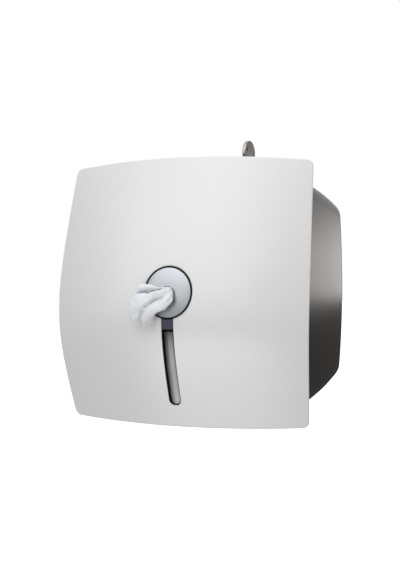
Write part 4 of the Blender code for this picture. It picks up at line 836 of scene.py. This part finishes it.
def makeCap(s):      # it follows the dome, with side strips that step down a little
    half = panelSettings["slotHalf"] - windowSettings["edge"]
    ringEdge = ringSettings["radius"] + 2 * windowSettings["edge"]
    top = -ringEdge * cos(asin(half / ringEdge)) + s["over"]
    rings = []
    for z in evenly(s["bottom"], top, s["rows"]):
        places = []
        for share in s["front"]:
            sink = s["stripStep"] if abs(share) > s["stripShare"] else 0.0
            sink += s["sideTurn"] if abs(share) == 1 else 0.0
            sink += 0.0 if z > s["bottom"] else s["footTurn"]
            places.append((share * half, domeY(0, z, sink - s["proud"]), z))
        rings.append(places + [(share * half, domeY(0, z, s["depth"] - s["proud"]), z) for share in s["back"]])
    cap = newObject("windowCap", loftedRings(rings, capped=True))
    combined(cap, "DIFFERENCE", rod(ringEdge, *s["ringCut"], ringSettings["steps"], nozzleMatrix))
    dressed(cap, "slateSatin", "cover", ["window_cap"])


makeBezel(windowSettings)
makePane(windowSettings)
makeCap(capSettings)
print("window made")


# key: a round bow on a short stem, and a cut blade inside the lock
lockSettings = {"y": -0.018, "top": 0.14, "gap": 0.0003, "flange": 0.0018}
keySettings = {
    "bowRise": 0.0433, "bowRadius": 0.0161, "bowSteps": 72, "thickness": 0.0041, "edge": 0.0007,
    "stemHalf": 0.005, "stemGap": 0.0006, "stemSteps": 6, "bladeThickness": 0.0024, "bladeWidth": 0.0056,
    "bladeLength": 0.021, "bladeRoot": 0.002, "holeRadius": 0.0022, "holeForward": 0.0098, "holeUp": 0.005,
    "bitting": ((0.25, 0.0010), (0.42, 0.0018), (0.58, 0.0008), (0.74, 0.0015)), "notchHalf": 0.0016,
    "grooveX": 0.0013, "grooveWall": 0.0004, "grooveHalf": 0.0006, "cutOver": 0.001, "cutReach": 0.003,
}


def makeKey(s):
    top = lockSettings["top"] + lockSettings["gap"] + lockSettings["flange"]
    y = lockSettings["y"]
    bow = top + s["bowRise"] - s["bowRadius"]
    stem = top + s["stemGap"]
    start = asin(s["stemHalf"] / s["bowRadius"])
    points = []
    for angle in evenly(start - pi / 2, 1.5 * pi - start, s["bowSteps"]):
        points.append((y + s["bowRadius"] * cos(angle), bow + s["bowRadius"] * sin(angle)))
    neck = points[-1][1]
    points += [(y - s["stemHalf"], z) for z in evenly(neck, stem, s["stemSteps"])[1:]]
    points += [(y + s["stemHalf"], z) for z in evenly(stem, neck, s["stemSteps"])[:-1]]
    body = pressed(points, -s["thickness"] / 2, s["thickness"] / 2, yzToWorld)
    roundedEdges(body, s["edge"], lambda edge: abs(edge.verts[0].co.x - edge.verts[1].co.x) < s["edge"])
    key = newObject("lockKey", body)

    half, rear, front = s["bladeThickness"] / 2, y + s["bladeWidth"] / 2, y - s["bladeWidth"] / 2
    tip, over, reach = stem - s["bladeLength"], s["cutOver"], s["cutReach"]
    combined(key, "UNION", block((-half, front, tip), (half, rear, stem + s["bladeRoot"])))
    cuts = []
    for share, deep in s["bitting"]:      # how far down the blade, and how deep
        z = stem - s["bladeLength"] * share
        notch = [(front - over, z + s["notchHalf"]), (front + deep, z), (front - over, z - s["notchHalf"])]
        cuts.append(pressed(notch, -reach, reach, yzToWorld))
    for side in (-s["grooveX"], s["grooveX"]):
        low = (side - s["grooveWall"], y - s["grooveHalf"], tip - over)
        cuts.append(block(low, (side + s["grooveWall"], y + s["grooveHalf"], stem - over)))
    middle = (0, y - s["holeForward"], bow + s["holeUp"])
    hole = Matrix.Translation(middle) @ Matrix.Rotation(pi / 2, 4, "Y")
    cuts.append(rod(s["holeRadius"], -s["thickness"], s["thickness"], 32, hole))
    combined(key, "DIFFERENCE", together(*cuts))
    dressed(key, "keyNickel", "key_body", ["key"], 32)


makeKey(keySettings)
print("key made")


# roll: wound tissue whose end faces show their turns
rollSettings = {
    "radius": 0.095, "hole": 0.030, "rear": -0.016, "front": -0.216, "turns": 26, "groove": 0.0004,
    "edge": 0.0022, "steps": 128,
}


def makeRoll(s):
    steps = 4 * s["turns"]
    outward = evenly(s["hole"] + s["edge"], s["radius"] - s["edge"], steps)
    profile = []
    for end, sign, reaches in ((s["rear"], -1, outward), (s["front"], 1, outward[::-1])):
        for index, reach in enumerate(reaches):
            turn = 2 * pi * index / steps * s["turns"]
            profile.append((reach, end + sign * s["groove"] * (0.5 - 0.5 * cos(turn)) ** 2))
        profile.append((s["radius"] if sign < 0 else s["hole"], end + sign * s["edge"]))
    lying = Matrix.Rotation(-pi / 2, 4, "X")
    roll = newObject("paperRoll", turnedRound(profile, s["steps"], lying, closed=True))
    dressed(roll, "rollPaper", "cover", ["paper_roll"], 50)


makeRoll(rollSettings)
print("roll made")


# tissue drawn out of the nozzle: a gathered strand inside, then two lobes with soft creases
tissueSettings = {
    "strand": ((-0.1756, 0.0055), (-0.205, 0.0050), (-0.232, 0.0048), (-0.2415, 0.0060), (-0.2445, 0.0067)),
    "strandTurn": 125, "cuts": 9, "smooth": 3, "mouth": -0.2475, "mouthFade": 0.004, "crease": 0.0022,
    "creaseScale": 112.0, "creaseTop": 0.5, "creaseLevel": 0.24, "wrinkle": 0.0001, "wrinkleScale": 560.0,
    "along": (-0.66, -0.15, -0.74), "alongShare": 0.55, "foldDepth": 0.00009, "foldPasses": 6,
    "flat": (0.055, 0.118),
    "rings": [
        [(-3.4, -247, 6.3), (-1.7, -247, 5.5), (-1.5, -247, 3.9), (0.4, -248, 6.1), (3.4, -248.3, 6.8),
         (5.9, -248.5, 5.7), (7.6, -248.5, 3.7), (8.5, -248.4, 0.9), (8.9, -248, -2.2), (8.2, -247.5, -5.4),
         (0.4, -246.6, -5.6), (-4.8, -246.6, -0.5)],
        [(-8.3, -250, 6.6), (-6.1, -252, 5.3), (-5.8, -247.6, 3), (-5.8, -252.5, 3), (-2.1, -255, 2.8),
         (1.4, -255.5, 1.8), (4.1, -254, -0.8), (8.3, -254, -4.1), (9.8, -251.5, -7.6), (8, -249, -9.8),
         (-1.9, -247, -8.7), (-10.5, -247, -2.2)],
        [(-15.3, -251, 8.6), (-12.5, -255, 5.9), (-13.3, -248.2, 0.9), (-11.5, -255, 0.9),
         (-8.2, -258.5, -0.2), (-6.8, -257, -2.3), (-4.1, -254.5, -5.6), (3.7, -258, -8.4),
         (7.9, -256.5, -12), (6.2, -252, -14.2), (-6.2, -248, -12), (-17.6, -247.5, -4.5)],
        [(-22, -250.5, 9.9), (-19, -256, 6.2), (-20.2, -248.6, -0.9), (-18.1, -256.5, -0.6),
         (-14.5, -260.5, -2), (-11.5, -261.5, -6.1), (-12.2, -255.5, -9.3), (-2.9, -259, -12.7),
         (3.1, -258, -16.2), (2, -253, -17.8), (-10.6, -249, -16.4), (-23.5, -248, -7.9)],
        [(-27.7, -250, 10.2), (-25.4, -255.5, 5.9), (-27.9, -248.8, -1.5), (-25.7, -256.5, -1.2),
         (-21.6, -261.5, -2.8), (-17, -263.5, -10), (-16, -257.5, -12.3), (-8.6, -261, -16),
         (-2.2, -258.5, -19), (-2.3, -253.5, -19.7), (-15.9, -249.5, -20.8), (-29.4, -248.5, -10.2)],
        [(-33.2, -249.5, 9.5), (-31.5, -254, 5.5), (-33.8, -249.2, -1.6), (-32.6, -256, -2.1),
         (-28.2, -262, -4.4), (-23.5, -264, -15.6), (-21.1, -260.5, -16.7), (-13.3, -261.5, -19.6),
         (-8.9, -258, -22), (-8, -253.5, -21.9), (-21.1, -250, -25.3), (-35.4, -249, -12.4)],
        [(-35.3, -248.5, 5.2), (-34.9, -250.5, 2.5), (-36.7, -250, -3.6), (-38.6, -255.5, -5.3),
         (-34.4, -261.5, -8.2), (-30.7, -261, -18.6), (-26.4, -256.5, -21.4), (-16.6, -260, -24),
         (-12, -257, -25.3), (-10.6, -253, -24.6), (-25.1, -249.5, -29.8), (-40.4, -249, -14.7)],
        [(-39.7, -248, -5.9), (-41, -249, -6.5), (-41.7, -250, -8.1), (-42.3, -254.5, -8.4),
         (-37.4, -260.5, -13.3), (-34.5, -258, -22.5), (-29.4, -254, -26.4), (-19.4, -258, -28.9),
         (-14.2, -255.5, -29.1), (-12.2, -252, -27.9), (-26.3, -249.5, -33.1), (-41.9, -248.5, -19.2)],
        [(-40.9, -248, -13.7), (-42.2, -249, -14.8), (-43, -250, -15.8), (-42.6, -253.5, -16.8),
         (-37.4, -259, -21.5), (-34.6, -256, -27.8), (-30.2, -252.5, -31.6), (-20.7, -256.5, -33.8),
         (-15.6, -254.5, -33.3), (-13.4, -251.5, -31.7), (-26.3, -249.5, -36.4), (-40.6, -248.5, -25.8)],
        [(-40.3, -248, -21.4), (-41.6, -249, -22.5), (-42.1, -250, -23.5), (-41.7, -252.5, -25.1),
         (-37, -257, -29), (-33.4, -254.5, -32.7), (-29.7, -251.5, -35.5), (-21.7, -255, -37.4),
         (-17.3, -253.5, -37.1), (-15.2, -251, -34.6), (-25.1, -249.5, -38.6), (-37.8, -249, -30.1)],
        [(-39.3, -248.5, -27.9), (-40.5, -249.2, -29.1), (-40.8, -250, -30.1), (-40.3, -252, -34),
         (-36.1, -255, -35.7), (-32.4, -253, -37.3), (-29, -251, -38.9), (-23.2, -253.5, -39.9),
         (-19.3, -252.5, -40.3), (-17.1, -250.5, -38.1), (-24.9, -249.8, -39.7), (-35.2, -249.2, -34.4)],
    ],
}


def makeTissueTail(s):
    count = len(s["rings"][0])
    rings = []
    turns = [radians(s["strandTurn"]) - 2 * pi * index / count for index in range(count)]
    for y, radius in s["strand"]:      # the gathered strand inside the funnel
        rings.append([(radius * cos(a), y, radius * sin(a)) for a in turns])
    rings += [[Vector(place) / 1000 for place in ring] for ring in s["rings"]]
    bm = loftedRings(rings)
    bmesh.ops.subdivide_edges(bm, edges=bm.edges, cuts=s["cuts"], use_grid_fill=True)
    for _ in range(s["smooth"]):
        bmesh.ops.smooth_vert(
            bm, verts=bm.verts, factor=0.5, use_axis_x=True, use_axis_y=True, use_axis_z=True)
    bm.normal_update()
    along = Vector(s["along"]).normalized()
    for vert in bm.verts:      # sharp creases along the strand, then finer wrinkles, outside the mouth
        outside = min(max((s["mouth"] - vert.co.y) / s["mouthFade"], 0), 1)
        drawn = vert.co - along * vert.co.dot(along) * s["alongShare"]
        nearest = noise.voronoi(drawn * s["creaseScale"])[0]      # flat facets that meet in sharp lines
        crease = (min(nearest[1] - nearest[0], s["creaseTop"]) - s["creaseLevel"]) * s["crease"]
        wrinkle = noise.noise(vert.co * s["wrinkleScale"]) * s["wrinkle"]
        vert.co += vert.normal * (crease + wrinkle) * outside
    bm.normal_update()
    fold = bm.verts.layers.float.new("fold")      # how hollow each place is, for the painted shade in the paper's folds
    hollows = [0.0] * len(bm.verts)
    bm.verts.index_update()
    for vert in bm.verts:
        near = [edge.other_vert(vert).co for edge in vert.link_edges]
        middle = sum(near, Vector()) / len(near)
        hollows[vert.index] = (middle - vert.co).dot(vert.normal) / s["foldDepth"]
    for _ in range(s["foldPasses"]):
        shared = [0.0] * len(hollows)
        for vert in bm.verts:
            near = [hollows[edge.other_vert(vert).index] for edge in vert.link_edges]
            shared[vert.index] = (hollows[vert.index] + sum(near)) / (1 + len(near))
        hollows = shared
    for vert in bm.verts:
        vert[fold] = min(max(0.5 + hollows[vert.index], 0), 1)
    tail = newObject("tissueTail", bm)
    dressed(tail, "tissuePaper", "cover", ["tissue_tail"], 60)
    print("tissue made,", round(sum(face.area for face in tail.data.polygons), 5), "square metres")


makeTissueTail(tissueSettings)


# finishes on the pieces that keep their shape from the frame
kept = {
    "plateMoulding": ["wall_plate"],
    "greyMoulding": ["nozzle_locknut", "feed_funnel", "roll_cradle"],
    "lockChrome": ["lock_barrel", "lock_plug"],
    "zincSteel": ["lock_keeper", "lock_nut", "lock_cam", "cam_screw"],
}
for pair in ("keeper_screw_", "hinge_pin_", "window_screw_", "panel_screw_bottom_", "panel_screw_top_"):
    kept["zincSteel"] += [pair + "left", pair + "right"]
for finish, nodes in kept.items():
    for node in nodes:
        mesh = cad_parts[node].data
        mesh.materials.clear()
        mesh.materials.append(materials[finish])
print("kept pieces dressed")


# studio: pale floor far below, white all round, soft lamps, and cards that shape what the gloss mirrors
studio = {
    "floorZ": -1.8, "floorSize": 120.0, "floorTone": tint(0.75, 0.75, 0.75), "floorRoughness": 0.9,
    "ambient": 0.67, "aim": (0.0, -0.2, 0.02), "cardFade": 0.28,
    "flags": ("cardLeft",),      # cards that also hold soft light off the object
}
lowCard = {"size": 80.0, "z": -1.2, "tone": 0.06}      # lies over the floor, for mirrored rays only
lamps = {      # turn from the front, rise, distance, width, height, power
    "lampTop": (0, 70, 2.2, 1.8, 1.8, 14.0),
    "lampLow": (-15, -34, 2.2, 1.6, 1.3, 10.3),
    "lampLeft": (-24, 32, 2.5, 1.8, 1.8, 5.9),
    "lampFront": (0, 45, 2.5, 1.8, 1.8, 3.6),
}
cards = {      # turn from the front, distance, width, lowest and highest z, tone low down and higher up
    "cardLeft": (-85, 2.4, 3.6, -1.7, 1.2, 0.06, 0.12),
    "cardFront": (38, 3.2, 4.4, -0.4, 3.0, 0.15, 0.15),
    "cardBack": (161, 3.0, 3.6, 0.08, 3.0, 1.0, 0.40),
}


def standing(turn, rise, distance):
    a, e = radians(turn), radians(rise)
    return distance * Vector((sin(a) * cos(e), -cos(a) * cos(e), sin(e)))


def flatSheet(name, width, height, matrix):
    bm = bmesh.new()
    bmesh.ops.create_grid(bm, x_segments=1, y_segments=1, size=0.5)
    bmesh.ops.scale(bm, vec=(width, height, 1), verts=bm.verts)
    bmesh.ops.transform(bm, matrix=matrix, verts=bm.verts)
    return newObject(name, bm)


def straightRays(tree):      # 1 for what the camera sees, also in a mirror or through glass
    path = tree.nodes.new("ShaderNodeLightPath")
    kinds = ("Is Camera Ray", "Is Glossy Ray", "Is Transmission Ray")
    seen, mirrored, through = (Field(tree, path.outputs[kind]) for kind in kinds)
    return seen.highest(mirrored).highest(through)


def makeFloor(s):
    floor = flatSheet("floor", s["floorSize"], s["floorSize"], Matrix.Translation((0, 0, s["floorZ"])))
    finish = Finish("floorPale", {"Base Color": s["floorTone"], "Roughness": s["floorRoughness"]})
    finish.material.cycles.emission_sampling = "NONE"      # its glow lights nothing
    glow = finish.node("ShaderNodeEmission", None, {"Strength": straightRays(finish.tree)})
    lit = Field(finish.tree, finish.shader.outputs[0])
    both = finish.node("ShaderNodeAddShader", None, {0: lit, 1: glow})
    fill(finish.tree, finish.tree.nodes["Material Output"].inputs["Surface"], both)
    floor.data.materials.append(finish.material)


def makeWorld(s):      # plain light on the object, and white behind it
    world = bpy.data.worlds.new("studioWorld")
    bpy.context.scene.world = world
    world.use_nodes = True
    tree = world.node_tree
    mix = tree.nodes.new("ShaderNodeMixShader")
    fill(tree, mix.inputs[0], straightRays(tree))
    backgrounds = (tree.nodes["Background"], tree.nodes.new("ShaderNodeBackground"))
    for slot, background, strength in zip((1, 2), backgrounds, (s["ambient"], 1.0)):
        background.inputs["Color"].default_value = tint(1, 1, 1)
        background.inputs["Strength"].default_value = strength
        tree.links.new(background.outputs[0], mix.inputs[slot])
    tree.links.new(mix.outputs[0], tree.nodes["World Output"].inputs["Surface"])


def makeCard(name, turn, distance, width, low, high, lowTone, highTone):
    stood = Matrix.Rotation(radians(turn), 4, "Z") @ Matrix.Rotation(pi / 2, 4, "X")
    place = Vector(studio["aim"]) + standing(turn, 0, distance)
    place.z = (low + high) / 2
    finishCard(flatSheet(name, width, high - low, Matrix.Translation(place) @ stood), low, lowTone, highTone)


def finishCard(card, low, lowTone, highTone):
    plain = {"Base Color": tint(0, 0, 0), "Specular IOR Level": 0.0, "Emission Strength": 1.0}
    finish = Finish(card.name, plain)
    finish.material.cycles.emission_sampling = "NONE"
    tone = finish.ranged(finish.axis(finish.coordinates(), "Z"), low, low + studio["cardFade"])
    dark, light = tint(lowTone, lowTone, lowTone), tint(highTone, highTone, highTone)
    finish.feed("Emission Color", finish.mixed(tone, dark, light))
    card.data.materials.append(finish.material)
    card.visible_camera = card.visible_shadow = False
    card.visible_diffuse = card.name in studio["flags"]


def makeLamp(name, turn, rise, distance, width, height, power):
    light = bpy.data.lights.new(name, "AREA")
    light.shape = "RECTANGLE"
    light.size, light.size_y = width, height
    light.energy = power
    lamp = bpy.data.objects.new(name, light)
    away = standing(turn, rise, distance)
    lamp.location = Vector(studio["aim"]) + away
    lamp.rotation_euler = (-away).to_track_quat("-Z", "Y").to_euler()
    bpy.context.scene.collection.objects.link(lamp)


makeFloor(studio)
makeWorld(studio)
low = flatSheet("cardLow", lowCard["size"], lowCard["size"], Matrix.Translation((0, 0, lowCard["z"])))
finishCard(low, lowCard["z"], lowCard["tone"], lowCard["tone"])
for name, settings in cards.items():
    makeCard(name, *settings)
for name, settings in lamps.items():
    makeLamp(name, *settings)
bpy.context.scene.view_settings.view_transform = "Standard"
print("studio made")
